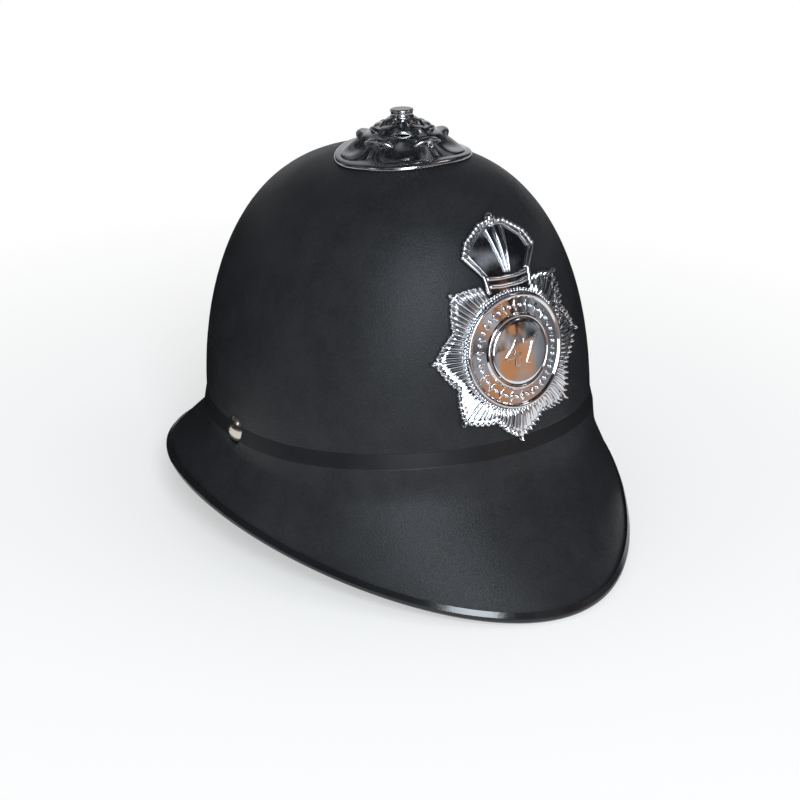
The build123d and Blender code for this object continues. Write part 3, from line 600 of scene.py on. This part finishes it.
def make_numerals():
    """Raised plain figures on the disc: flat outlines with a bevel, bent to the crown."""
    words = bpy.data.curves.new("numerals", "FONT")
    words.body = "47"
    words.size = 17.5
    words.align_x = "CENTER"
    words.align_y = "CENTER"
    words.extrude = 0.5
    words.bevel_depth = 0.32
    words.bevel_resolution = 2
    words.space_character = 1.15
    holder = new_object("numerals", words)
    bpy.context.view_layer.update()
    mesh = bpy.data.meshes.new_from_object(holder.evaluated_get(bpy.context.evaluated_depsgraph_get()))
    bpy.data.objects.remove(holder)
    points = np.empty(len(mesh.vertices) * 3)
    mesh.vertices.foreach_get("co", points)
    points = points.reshape(-1, 3)
    flat = points[:, :2] - (points[:, :2].max(0) + points[:, :2].min(0)) / 2.0
    lift = 5.5 + points[:, 2]
    form = (on_badge(flat[:, 0], flat[:, 1], lift), [list(polygon.vertices) for polygon in mesh.polygons])
    bpy.data.meshes.remove(mesh)
    mesh_piece("disc_numerals", form, "helmet", badge_chrome, 30.0)


def badge_bar(spots, radius, lift):
    """Round bar through badge points, its ends drawn in."""
    steps = 40
    spots = np.array(spots, float)
    walked = walk(spots)
    at = np.linspace(0.0, walked[-1], steps)
    across = np.interp(at, walked, spots[:, 0])
    rise = np.interp(at, walked, spots[:, 1])
    line = on_badge(across, rise, np.full(steps, lift))
    out = on_badge(across, rise, np.full(steps, lift + 1.0)) - line
    ends = np.clip(np.minimum(at, walked[-1] - at) / radius, 0.02, 1.0)
    return tube(line, radius * 0.001 * np.sqrt(1.0 - (1.0 - ends) ** 2 + 1e-4), out)


def make_emblem():
    """Crown emblem: a dished plate with bars on its lower edges and pearls on its upper ones.

    Three ribs stand on it, with two base bars and a pair of pearls at the top.
    """
    rises = np.concatenate([np.linspace(29.5, 63.4, 40), [64.3, 65.0]])
    half = np.interp(rises, emblem_side[:, 1], emblem_side[:, 0])
    columns = 33
    u = np.linspace(-1.0, 1.0, columns)
    dish = 2.45 + 0.75 * np.abs(u) ** 6 + 0.5 * np.exp(-(u / 0.25) ** 2)
    across = np.concatenate([half[:, None] * u, half[:, None] * u[::-1]], 1)
    lift = np.concatenate([dish[None] + 0.0 * half[:, None], np.full((len(half), columns), 0.4)], 1)
    plate = on_badge(across, rises[:, None] + 0.0 * across, lift)
    piece = mesh_piece("crown_plate", skin(plate), "helmet", emblem_chrome, 50.0)
    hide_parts("badge_plate")
    forms = []
    inner_share = 0.86
    pearl_pitch = 2.55
    for side in (-1.0, 1.0):
        edge = emblem_side * (side, 1.0)
        forms.append(badge_bar(edge[:3], 1.15, 2.9))
        inner = edge[1:4] * (inner_share, 1.0)
        forms.append(badge_bar(inner, 0.5, 3.1))
        upper = edge[2:]
        walked = walk(upper)
        at = np.arange(0.0, walked[-1], pearl_pitch)
        x = np.interp(at, walked, upper[:, 0])
        y = np.interp(at, walked, upper[:, 1])
        forms.append(beads(on_badge(x, y, np.full(len(at), 2.9)), 0.00138, 7, 12))
        inward = np.stack([upper[:, 0] * inner_share, upper[:, 1] - 1.6], 1)
        forms.append(badge_bar(inward, 0.6, 3.1))
        forms.append(badge_bar([(1.2 * side, 38.6), (5.0 * side, 61.4)], 0.62, 3.2))
    forms.append(badge_bar([(0.0, 38.6), (0.0, 63.2)], 0.62, 3.3))
    forms.append(badge_bar([(-11.9, 33.4), (-5.4, 32.7), (5.4, 32.7), (11.9, 33.4)], 1.15, 3.0))
    forms.append(badge_bar([(-12.6, 37.2), (-5.4, 36.5), (5.4, 36.5), (12.6, 37.2)], 1.0, 3.0))
    tops = on_badge(np.zeros(2), np.array([65.9, 63.2]), np.array([2.6, 3.1]))
    forms.append(beads(tops, np.array([0.0029, 0.0018]), 9, 16))
    piece = mesh_piece("crown_detail", joined(forms), "helmet", badge_chrome, 60.0)
    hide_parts("badge_plate")


# Rose boss

rose_turn = math.radians(36.0)
petal_span = math.radians(72.0)


def smooth_step(value, start, end):
    """Rises from 0 to 1 between two values by the rule 3 t squared less 2 t cubed."""
    t = np.clip((value - start) / (end - start), 0.0, 1.0)
    return t * t * (3.0 - 2.0 * t)


def about_boss(radius, turn, height):
    """Points round the boss's own axis, heights over the crown's flat seat, in the row's frame."""
    x = radius * np.sin(turn)
    y = -boss_forward - radius * np.cos(turn)
    return stand(np.stack([x, y, seat_height + height + 0.0 * x], -1))


def petal_tier(first, reach, root, edge, power, bowl, drop, roll):
    """Five hooded petals as one dome, from radius share v and the place u across a petal.

    Height falls by a power of v, dips in a bowl, drops at the petal's sides and in the grooves
    between petals, and the edge rolls under in a half circle.
    """
    turn = once_round(400)[None, :]
    u = (((turn - first) / petal_span + 0.5) % 1.0 - 0.5) * 2.0
    rim = reach * (1.0 - 0.03 * drop * np.abs(u) ** 2.2)
    v = np.concatenate([np.linspace(0.04, 0.9, 34), np.linspace(0.912, 1.0, 12)])[:, None]
    middle = np.cos(math.pi / 2.0 * u) ** 2
    height = root + (edge - root) * v ** power
    height = height - bowl * np.sin(math.pi * np.clip((v - 0.6) / 0.37, 0.0, 1.0)) ** 1.2 * middle
    height = height - drop * np.abs(u) ** 2.0 * smooth_step(v, 0.4, 1.0)
    groove = np.exp(-((1.0 - np.abs(u)) * rim * v * 0.63 / 1.5) ** 2)
    height = height - 1.2 * groove * smooth_step(v, 0.3, 0.6)
    bend = np.linspace(0.0, math.pi, 9)[1:, None]
    last = height[-1:]
    edge_radius = rim + roll * np.sin(bend)
    edge_height = last - roll + roll * np.cos(bend)
    radius = np.concatenate([rim * v, edge_radius, rim * 0.8, rim * 0.04 + 0.0 * u])
    height = np.concatenate([height, edge_height, last - 2.0 * roll, np.full_like(last, root - 6.0)])
    return skin(about_boss(radius, turn + 0.0 * radius, height))


def make_rose():
    """Three alternating tiers of five petals over a scalloped rim that lies on the crown."""
    around = once_round(400)[None, :]
    lowest = crown_top(around, 33.2 + 0.0 * around) - seat_height + 1.9
    forms = [
        petal_tier(rose_turn, 33.0, 12.8, lowest, 3.0, 3.2, 1.6, 0.9),
        petal_tier(0.0, 23.4, 16.4, 10.4, 2.0, 2.6, 6.4, 1.0),
        petal_tier(rose_turn, 16.0, 19.2, 14.0, 1.6, 2.0, 5.2, 1.0),
    ]
    turn = once_round(240)
    scallop = 34.9 + 0.8 * np.abs(np.cos(2.5 * (turn - rose_turn)))
    rim = [(9.0, 0.3), (0.6, 0.25), (0.0, 0.7), (0.0, 1.5), (0.5, 2.1), (1.4, 2.3), (2.4, 2.1), (9.0, 2.6)]
    rows = []
    for inward, lift in rim:
        radius = scallop - inward
        rows.append(about_boss(radius, turn, crown_top(turn, radius) + lift - seat_height))
    forms.append(skin(np.stack(rows), close_rows=True))
    piece = mesh_piece("rose_petals", joined(forms), "helmet", boss_chrome, 60.0)
    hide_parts("boss_rose")


def make_button():
    """Squat waisted button: a turned profile of radius and height."""
    profile = [(0.02, 15.0), (6.8, 15.2), (6.7, 17.6), (6.2, 18.5), (5.8, 19.2), (5.6, 19.9), (5.8, 20.6)]
    profile = profile + [(6.0, 21.1), (6.05, 21.6), (5.7, 22.0), (4.6, 22.15), (3.0, 22.0), (0.02, 21.9)]
    radius, height = np.array(profile).T
    turn = once_round(64)[None, :]
    points = about_boss(radius[:, None] + 0.0 * turn, turn + 0.0 * radius[:, None], height[:, None])
    piece = mesh_piece("button_cap", skin(points), "helmet", boss_chrome, 60.0)
    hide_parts("boss_button")


# Chin strap, in millimetres, drawn hanging in the plane of the rivets and then swung to rest

rivet_y = 17.5
rivet_height = -3.5
strap_rest = math.radians(70.4)
strap_half = 8.0
strap_thick = 2.0
tab_x = 92.1
tab_top = 4.5
tab_low = -12.5
strap_bend = 26.0
line_step = 0.8
knee = np.array([74.0, -65.5])
chin = np.array([32.0, -117.5])
bar_place = chin + (knee - chin) * 0.52
up_strap = unit(knee - chin)
off_strap = np.array([up_strap[1], -up_strap[0]])
tail_lift = 3.9
eye_radius = 2.5
eye_bore = 1.35
eye_side = 4.8
eye_half = 3.2
keeper_place = 17.0
keeper_half = 3.0
keeper_wall_half = 0.6


def swung(points):
    """Hanging strap to its rest: turned about the rivets' line, then stood with the helmet."""
    y, z = points[..., 1] - rivet_y, points[..., 2] - rivet_height
    turned_y = rivet_y + y * math.cos(strap_rest) - z * math.sin(strap_rest)
    turned_z = rivet_height + y * math.sin(strap_rest) + z * math.cos(strap_rest)
    return stand(np.stack([points[..., 0], turned_y, turned_z], -1))


def by_buckle(along, lift):
    """Spot in the plane of the strap: along from the buckle's bar, and off the strap."""
    return bar_place + np.multiply.outer(along, up_strap) + np.multiply.outer(lift, off_strap)


def rounded_line(corners, radii):
    """Line through corners in a plane, each corner an arc of its radius, at even steps."""
    corners = np.array(corners, float)
    runs = [corners[:1]]
    share = np.linspace(0.0, 1.0, 25)[:, None]
    for before, corner, after, radius in zip(corners, corners[1:], corners[2:], radii):
        first = unit(before - corner)
        last = unit(after - corner)
        half_open = math.acos(first @ last) / 2.0
        middle = corner + unit(first + last) * radius / math.sin(half_open)
        start = corner + first * radius / math.tan(half_open) - middle
        stop = corner + last * radius / math.tan(half_open) - middle
        swing = math.pi - 2.0 * half_open
        arc = np.sin((1.0 - share) * swing) * start + np.sin(share * swing) * stop
        runs.append(middle + arc / math.sin(swing))
    line = np.concatenate(runs + [corners[-1:]])
    walked = walk(line)
    at = np.linspace(0.0, walked[-1], int(walked[-1] / line_step))
    return np.stack([np.interp(at, walked, line[:, 0]), np.interp(at, walked, line[:, 1])], 1), at


def flat_section(count, edge=0.22, face=0.45):
    """Squared oval: cosine and sine with their sizes raised to small powers."""
    turn = once_round(count)
    wide = np.sign(np.cos(turn)) * np.abs(np.cos(turn)) ** edge
    tall = np.sign(np.sin(turn)) * np.abs(np.sin(turn)) ** face
    return wide, tall


def strap_form(line, at, rounds):
    """Strap on a line in the XZ plane: a flat section across Y, drawn in to a half circle at its ends."""
    ahead = unit(np.gradient(line, axis=0))
    wide, tall = flat_section(28)
    width = np.full(len(at), strap_half)
    for drawn_in, gone in zip(rounds, (at, at[-1] - at)):
        if drawn_in:
            share = 1.0 - np.clip(gone / strap_half, 0.0, 1.0)
            width = width * np.sqrt(np.maximum(1.0 - share ** 2, 0.004))
    y = rivet_y + width[:, None] * wide
    x = line[:, :1] - ahead[:, 1:] * tall * strap_thick / 2.0
    z = line[:, 1:] + ahead[:, :1] * tall * strap_thick / 2.0
    spots = np.stack([at[:, None] + 0.0 * y, width[:, None] * wide], -1).reshape(-1, 2) / 1000.0
    return skin(swung(np.stack([x, y, z], -1))), spots


def hole_form(along, low, high, radius):
    """Cutter through the tail: a round rod off the strap, in the buckle's place."""
    turn = once_round(24)
    rows = []
    for lift in (low, high):
        flat = by_buckle(along + radius * np.cos(turn), np.full(24, lift))
        rows.append(np.stack([flat[:, 0], rivet_y + radius * np.sin(turn), flat[:, 1]], 1))
    return skin(swung(np.stack(rows)))


def slot_form(start, stop, half, low, high):
    """Cutter block along the strap in the buckle's place."""
    rows = []
    for along in (start, stop):
        flat = by_buckle(np.full(4, along), np.array([low, low, high, high]))
        rows.append(np.stack([flat[:, 0], rivet_y + np.array([-half, half, half, -half]), flat[:, 1]], 1))
    return skin(swung(np.stack(rows)))


def cut(piece, cutters):
    """Takes closed forms out of a piece."""
    for form in cutters:
        tool = mesh_piece("cutter", form, "chin_strap", strap_leather)
        cutter = piece.modifiers.new("hole", "BOOLEAN")
        cutter.operation = "DIFFERENCE"
        cutter.solver = "EXACT"
        cutter.object = tool
        bpy.context.view_layer.update()
        mesh = bpy.data.meshes.new_from_object(piece.evaluated_get(bpy.context.evaluated_depsgraph_get()))
        piece.modifiers.clear()
        piece.data = mesh
        bpy.data.objects.remove(tool)


def make_strap_right():
    """Long strap from the right rivet round the chin and through the buckle, with holes for the prong."""
    corners = [(-tab_x, tab_top), (-tab_x, tab_low), knee * (-1, 1), chin * (-1, 1), chin]
    corners = corners + [by_buckle(-14.0, 0.0), by_buckle(-6.0, tail_lift), by_buckle(24.0, tail_lift)]
    line, at = rounded_line(corners, 4 * (strap_bend,) + (6.0, 6.0))
    form, spots = strap_form(line, at, (True, True))
    piece = mesh_piece("strap_right", form, "chin_strap", strap_leather, 50.0, spots)
    cutters = [slot_form(-13.5, -1.2, 1.5, -2.0, 8.0)]
    for along in (3.0, 12.0, 21.0):
        cutters.append(hole_form(along, 1.0, 8.0, 1.3))
    cut(piece, cutters)
    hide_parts("chin_strap_right")


def make_strap_left():
    """Short strap from the left rivet, its end wrapped as two eyes round the buckle's bar."""
    corners = [(tab_x, tab_top), (tab_x, tab_low), knee, by_buckle(1.9, 0.0)]
    line, at = rounded_line(corners, (strap_bend, strap_bend))
    form, spots = strap_form(line, at, (True, False))
    piece = mesh_piece("strap_left", form, "chin_strap", strap_leather, 50.0, spots)
    cut(piece, [slot_form(-1.0, 2.8, 1.6, -3.0, 3.0)])
    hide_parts("chin_strap_left")
    turn = once_round(40)[:, None]
    wide, tall = flat_section(16, 0.3, 0.4)
    eyes = []
    for side in (-1.0, 1.0):
        radius = (eye_radius + eye_bore) / 2.0 + (eye_radius - eye_bore) / 2.0 * tall
        flat = by_buckle(radius * np.cos(turn), radius * np.sin(turn))
        across = rivet_y + side * eye_side + eye_half * wide + 0.0 * turn
        eyes.append(skin(swung(np.stack([flat[..., 0], across, flat[..., 1]], -1)), close_rows=True))
    eye_points = joined(eyes)
    spots = np.tile([[0.0, 0.0]], (len(eye_points[0]), 1))
    eye = mesh_piece("strap_eyes", eye_points, "chin_strap", strap_leather, 50.0, spots)
    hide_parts("chin_strap_left")


def make_keeper():
    """Leather loop round the strap and its tail: a squared oval path with a thin squared section."""
    path_wide, path_tall = flat_section(120, 0.18, 0.3)
    across = 9.0 * path_wide
    lift = 1.95 + 3.95 * path_tall
    path = np.stack([across, lift], 1)
    ahead = unit(np.roll(path, -1, 0) - np.roll(path, 1, 0))
    wide, tall = flat_section(18, 0.3, 0.45)
    along = keeper_place + keeper_half * wide[None, :] + 0.0 * across[:, None]
    off = lift[:, None] - ahead[:, :1] * keeper_wall_half * tall
    side = across[:, None] + ahead[:, 1:] * keeper_wall_half * tall
    flat = by_buckle(along, off)
    points = swung(np.stack([flat[..., 0], rivet_y + side, flat[..., 1]], -1))
    walked = walk(path)[:, None] + 0.0 * along
    spots = np.stack([walked, along - keeper_place], -1).reshape(-1, 2) / 1000.0
    piece = mesh_piece("keeper_loop", skin(points, close_rows=True), "keeper", strap_leather, 60.0, spots)
    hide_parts("strap_keeper")


# Head harness, in millimetres

harness_centre = 18.0
tape_foot = 2.2
tape_bend = 22.0
tape_half = 9.8
tape_wall_half = 0.55
padding_side = 84.0
padding_reach = 103.5
padding_middle = 5.0
padding_half = 13.9
padding_round = 93.0


def make_tape(name, node, half_span, top, sideways):
    """Woven tape: upright feet, then half an ellipse over the head, with a thin flat section."""
    rise = np.linspace(tape_foot, tape_bend, 14)[:-1]
    foot = np.full(len(rise), half_span)
    turn = np.linspace(0.0, math.pi, 150)
    span = np.concatenate([-foot, -half_span * np.cos(turn), foot])
    height = np.concatenate([rise, tape_bend + (top - tape_bend) * np.sin(turn), rise[::-1]])
    path = np.stack([span, height], 1)
    ahead = unit(np.gradient(path, axis=0))
    at = walk(path)
    wide, tall = flat_section(26, 0.2, 0.5)
    run = span[:, None] - ahead[:, 1:] * tape_wall_half * tall
    z = height[:, None] + ahead[:, :1] * tape_wall_half * tall
    across = tape_half * wide + 0.0 * run
    if sideways:
        points = np.stack([run, harness_centre + across, z], -1)
    else:
        points = np.stack([across, harness_centre + run, z], -1)
    spots = np.stack([at[:, None] + 0.0 * across, across], -1).reshape(-1, 2) / 1000.0
    piece = mesh_piece(name, skin(stand(points)), "helmet", webbing, 60.0, spots)
    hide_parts(node)


def make_sweatband():
    """Padded leather hoop: thickness swells between edges and between sewn seams, with soft creases."""
    turn = once_round(720)[:, None] + math.pi
    share = np.linspace(-1.0, 1.0, 21)
    height = np.concatenate([share, share[::-1]])[None, :]
    face = np.repeat([0.0, 1.0], len(share))[None, :]
    seams = 16
    beat = (turn * seams / (2.0 * math.pi)) % 1.0
    off_seam = np.minimum(beat, 1.0 - beat)
    puff = 1.0 - np.exp(-(off_seam / 0.045) ** 2)
    crease = 0.08 * np.sin(seams * 5.0 * turn + 4.0 * height) * np.exp(-off_seam / 0.12)
    swell = (1.0 - np.abs(height) ** 4) ** 0.5 * (0.62 + 0.38 * puff + crease)
    hem = 0.75 * (1.0 - np.clip((np.abs(height) - 0.9) / 0.1, 0.0, 1.0) ** 3) ** 0.5
    inward = 1.85 + face * (0.25 + hem + 1.85 * swell * (np.abs(height) < 0.999))
    x = (padding_side - inward) * np.sin(turn)
    y = harness_centre - (padding_reach - inward) * np.cos(turn)
    z = padding_middle + padding_half * height + 0.0 * x
    length = (turn - math.pi) * padding_round + 0.0 * x
    spots = np.stack([length, z - padding_middle], -1).reshape(-1, 2) / 1000.0
    form = skin(stand(np.stack([x, y, z], -1)), close_rows=True)
    piece = mesh_piece("sweatband_padding", form, "helmet", band_leather, 70.0, spots)
    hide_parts("sweatband")


make_star()
make_ring()
make_disc()
make_numerals()
make_emblem()
make_rose()
make_button()
make_strap_right()
make_strap_left()
make_keeper()
make_tape("tape_long", "cradle_strap_long", 104.3, 104.4, False)
make_tape("tape_cross", "cradle_strap_cross", 84.8, 102.2, True)
make_sweatband()


# Floor, light and camera, in metres

also_seen = ("Is Glossy Ray", "Is Transmission Ray")
floor_half = 40.0
lamp_aim = (0.0, 0.0, 0.1)
lamps = {
    "key_lamp": ((-0.74, -1.38, 1.18), 0.7, 25.0, (0.86, 0.94, 1.0)),
    "front_lamp": ((-1.05, -1.85, 0.62), 0.9, 12.5, (0.9, 0.95, 1.0)),
    "left_lamp": ((-1.9, 0.3, 0.9), 0.35, 1.0, (1.0, 1.0, 1.0)),
    "right_lamp": ((1.3, -0.7, 1.9), 0.35, 1.5, (1.0, 1.0, 1.0)),
}
tent_radius = 3.4
wall_radius = 0.36
wall_heights = (0.002, 0.13)
foot_centre = (0.012, 0.016)
foot_reaches = (0.01, 0.36)
foot_height = 0.001
foot_bearings = (54.0, 234.0)
warm_way = (0.36, -0.92, 0.12)
pale_way = (0.57, 0.8, 0.18)
sensor_width = 36.0


def make_floor():
    """Wide pale floor that fades to a plain white background away from the object."""
    side = floor_half
    corners = [(-side, -side, 0.0), (side, -side, 0.0), (side, side, 0.0), (-side, side, 0.0)]
    mesh = bpy.data.meshes.new("floor")
    mesh.from_pydata(corners, [], [(0, 1, 2, 3)])
    floor = new_object("floor", mesh)
    finish = Finish("floor_white", Roughness=0.9, Base_Color=(0.88, 0.88, 0.88, 1.0))
    away = finish.node("VectorMath", {"operation": "LENGTH"}, {0: finish.place()}, output="Value")
    fade = finish.between(away, 0.12, 0.45, 0.45, 1.0)
    seen = finish.node("LightPath", output="Is Camera Ray")
    for ray in also_seen:
        seen = seen.math("MAXIMUM", finish.node("LightPath", output=ray))
    glow = finish.node("Emission", inputs={"Color": (1.0, 1.0, 1.0, 1.0), "Strength": 1.0})
    mixed = finish.tree.nodes.new("ShaderNodeMixShader")
    finish.tree.links.new((fade * seen).socket, mixed.inputs[0])
    finish.tree.links.new(finish.surface.outputs[0], mixed.inputs[1])
    finish.tree.links.new(glow.socket, mixed.inputs[2])
    finish.tree.links.new(mixed.outputs[0], finish.tree.nodes["Material Output"].inputs[0])
    mesh.materials.append(finish.material)


def make_world(strength):
    """Even light all round, and plain white where the background is seen."""
    world = bpy.data.worlds.new("studio")
    bpy.context.scene.world = world
    world.use_nodes = True
    tree = world.node_tree
    back = tree.nodes["Background"]
    path = tree.nodes.new("ShaderNodeLightPath")
    seen = path.outputs["Is Camera Ray"]
    for ray in also_seen:
        larger = tree.nodes.new("ShaderNodeMath")
        larger.operation = "MAXIMUM"
        tree.links.new(seen, larger.inputs[0])
        tree.links.new(path.outputs[ray], larger.inputs[1])
        seen = larger.outputs[0]
    level = tree.nodes.new("ShaderNodeMapRange")
    level.inputs["To Min"].default_value = strength
    level.inputs["To Max"].default_value = 1.0
    tree.links.new(seen, level.inputs["Value"])
    tree.links.new(level.outputs[0], back.inputs["Strength"])
    back.inputs["Color"].default_value = (1.0, 1.0, 1.0, 1.0)


def make_lamp(name, place, size, power, colour):
    """Square soft lamp, turned to the helmet."""
    data = bpy.data.lights.new(name, "AREA")
    data.size = size
    data.energy = power
    data.color = colour
    lamp = new_object(name, data)
    lamp.location = place
    lamp.rotation_euler = (Vector(lamp_aim) - Vector(place)).to_track_quat("-Z", "Y").to_euler()


def card_finish(name):
    """Dim room for metal to reflect: soft paler patches, a warm one ahead and a pale one behind."""
    finish = Finish(name)
    place = finish.place()
    cloud = finish.noise(place, 0.9, 2.0)
    dark = (0.016, 0.017, 0.02, 1.0)
    stops = [(0.0, dark), (0.5, dark), (0.57, (0.12, 0.125, 0.13, 1.0)), (0.68, (0.45, 0.47, 0.5, 1.0))]
    tone = finish.node("ValToRGB", {"stops": stops}, {0: cloud})
    ahead = finish.node("VectorMath", {"operation": "NORMALIZE"}, {0: place})
    drift = finish.between(finish.noise(place, 2.6, 2.0), 0.44, 0.58)
    warm = finish.between(finish.dot(ahead, warm_way), 0.94, 0.972) * drift
    tone = finish.blend(warm, tone, (0.55, 0.26, 0.12, 1.0))
    pale = finish.between(finish.dot(ahead, pale_way), 0.86, 0.97) * 0.9
    tone = finish.blend(pale, tone, (0.6, 0.61, 0.63, 1.0))
    glow = finish.node("Emission", inputs={"Color": tone, "Strength": 1.0})
    finish.tree.links.new(glow.socket, finish.tree.nodes["Material Output"].inputs[0])
    return finish.material


def make_card(name, points, faces):
    """Card out of the camera's sight, which only metal and gloss reflect."""
    mesh = bpy.data.meshes.new(name)
    mesh.from_pydata(points.tolist(), [], faces)
    mesh.materials.append(card_finish(name))
    card = new_object(name, mesh)
    card.visible_camera = False
    card.visible_diffuse = False
    card.visible_shadow = False
    card.visible_transmission = False


def make_tent():
    """Dark half ball far round the stage, a low dark wall and a dark sheet on the floor behind the helmet."""
    turn = once_round(48)[None, :]
    rise = np.radians(np.linspace(0.0, 89.5, 24))[:, None]
    x, y = np.cos(rise) * np.sin(turn), -np.cos(rise) * np.cos(turn)
    ball = tent_radius * np.stack([x, y, np.sin(rise) + 0.0 * turn], -1)
    make_card("dark_tent", ball.reshape(-1, 3), grid_faces(24, 48, close_columns=True))
    z = np.array(wall_heights)[:, None] + 0.0 * turn
    wall = np.stack([wall_radius * np.sin(turn) + 0.0 * z, -wall_radius * np.cos(turn) + 0.0 * z, z], -1)
    make_card("dark_wall", wall.reshape(-1, 3), grid_faces(2, 48, close_columns=True))
    turn = np.radians(np.linspace(*foot_bearings, 24))[None, :]
    reach = np.array(foot_reaches)[:, None]
    x, y = foot_centre[0] + reach * np.sin(turn), foot_centre[1] - reach * np.cos(turn)
    foot = np.stack([x, y, foot_height + 0.0 * x], -1)
    make_card("dark_foot", foot.reshape(-1, 3), grid_faces(2, 24))


def make_camera():
    """Camera of the photograph: turned round the target, raised, then rolled."""
    turn, rise, roll = (math.radians(a) for a in (view_turn, view_rise, view_roll))
    back = np.array([math.sin(turn) * math.cos(rise), -math.cos(turn) * math.cos(rise), math.sin(rise)])
    right = np.array([math.cos(turn), math.sin(turn), 0.0])
    up = np.cross(back, right)
    across = math.cos(roll) * right + math.sin(roll) * up
    upward = -math.sin(roll) * right + math.cos(roll) * up
    place = stand(np.array(view_target) + view_distance * back)
    turned = np.stack([tilt @ across, tilt @ upward, tilt @ back], 1)
    camera = bpy.data.cameras.new("camera")
    camera.sensor_width = sensor_width
    camera.lens = sensor_width * view_scale * view_distance / image_side
    camera.shift_x = -(view_middle[0] - image_side / 2.0) / image_side
    camera.shift_y = (view_middle[1] - image_side / 2.0) / image_side
    held = new_object("camera", camera)
    held.matrix_world = Matrix.LocRotScale(Vector(place), Matrix(turned.tolist()), None)
    bpy.context.scene.camera = held


make_floor()
make_world(0.5)
make_tent()
for lamp_name, lamp_values in lamps.items():
    make_lamp(lamp_name, *lamp_values)
make_camera()
bpy.context.scene.view_settings.view_transform = "Standard"
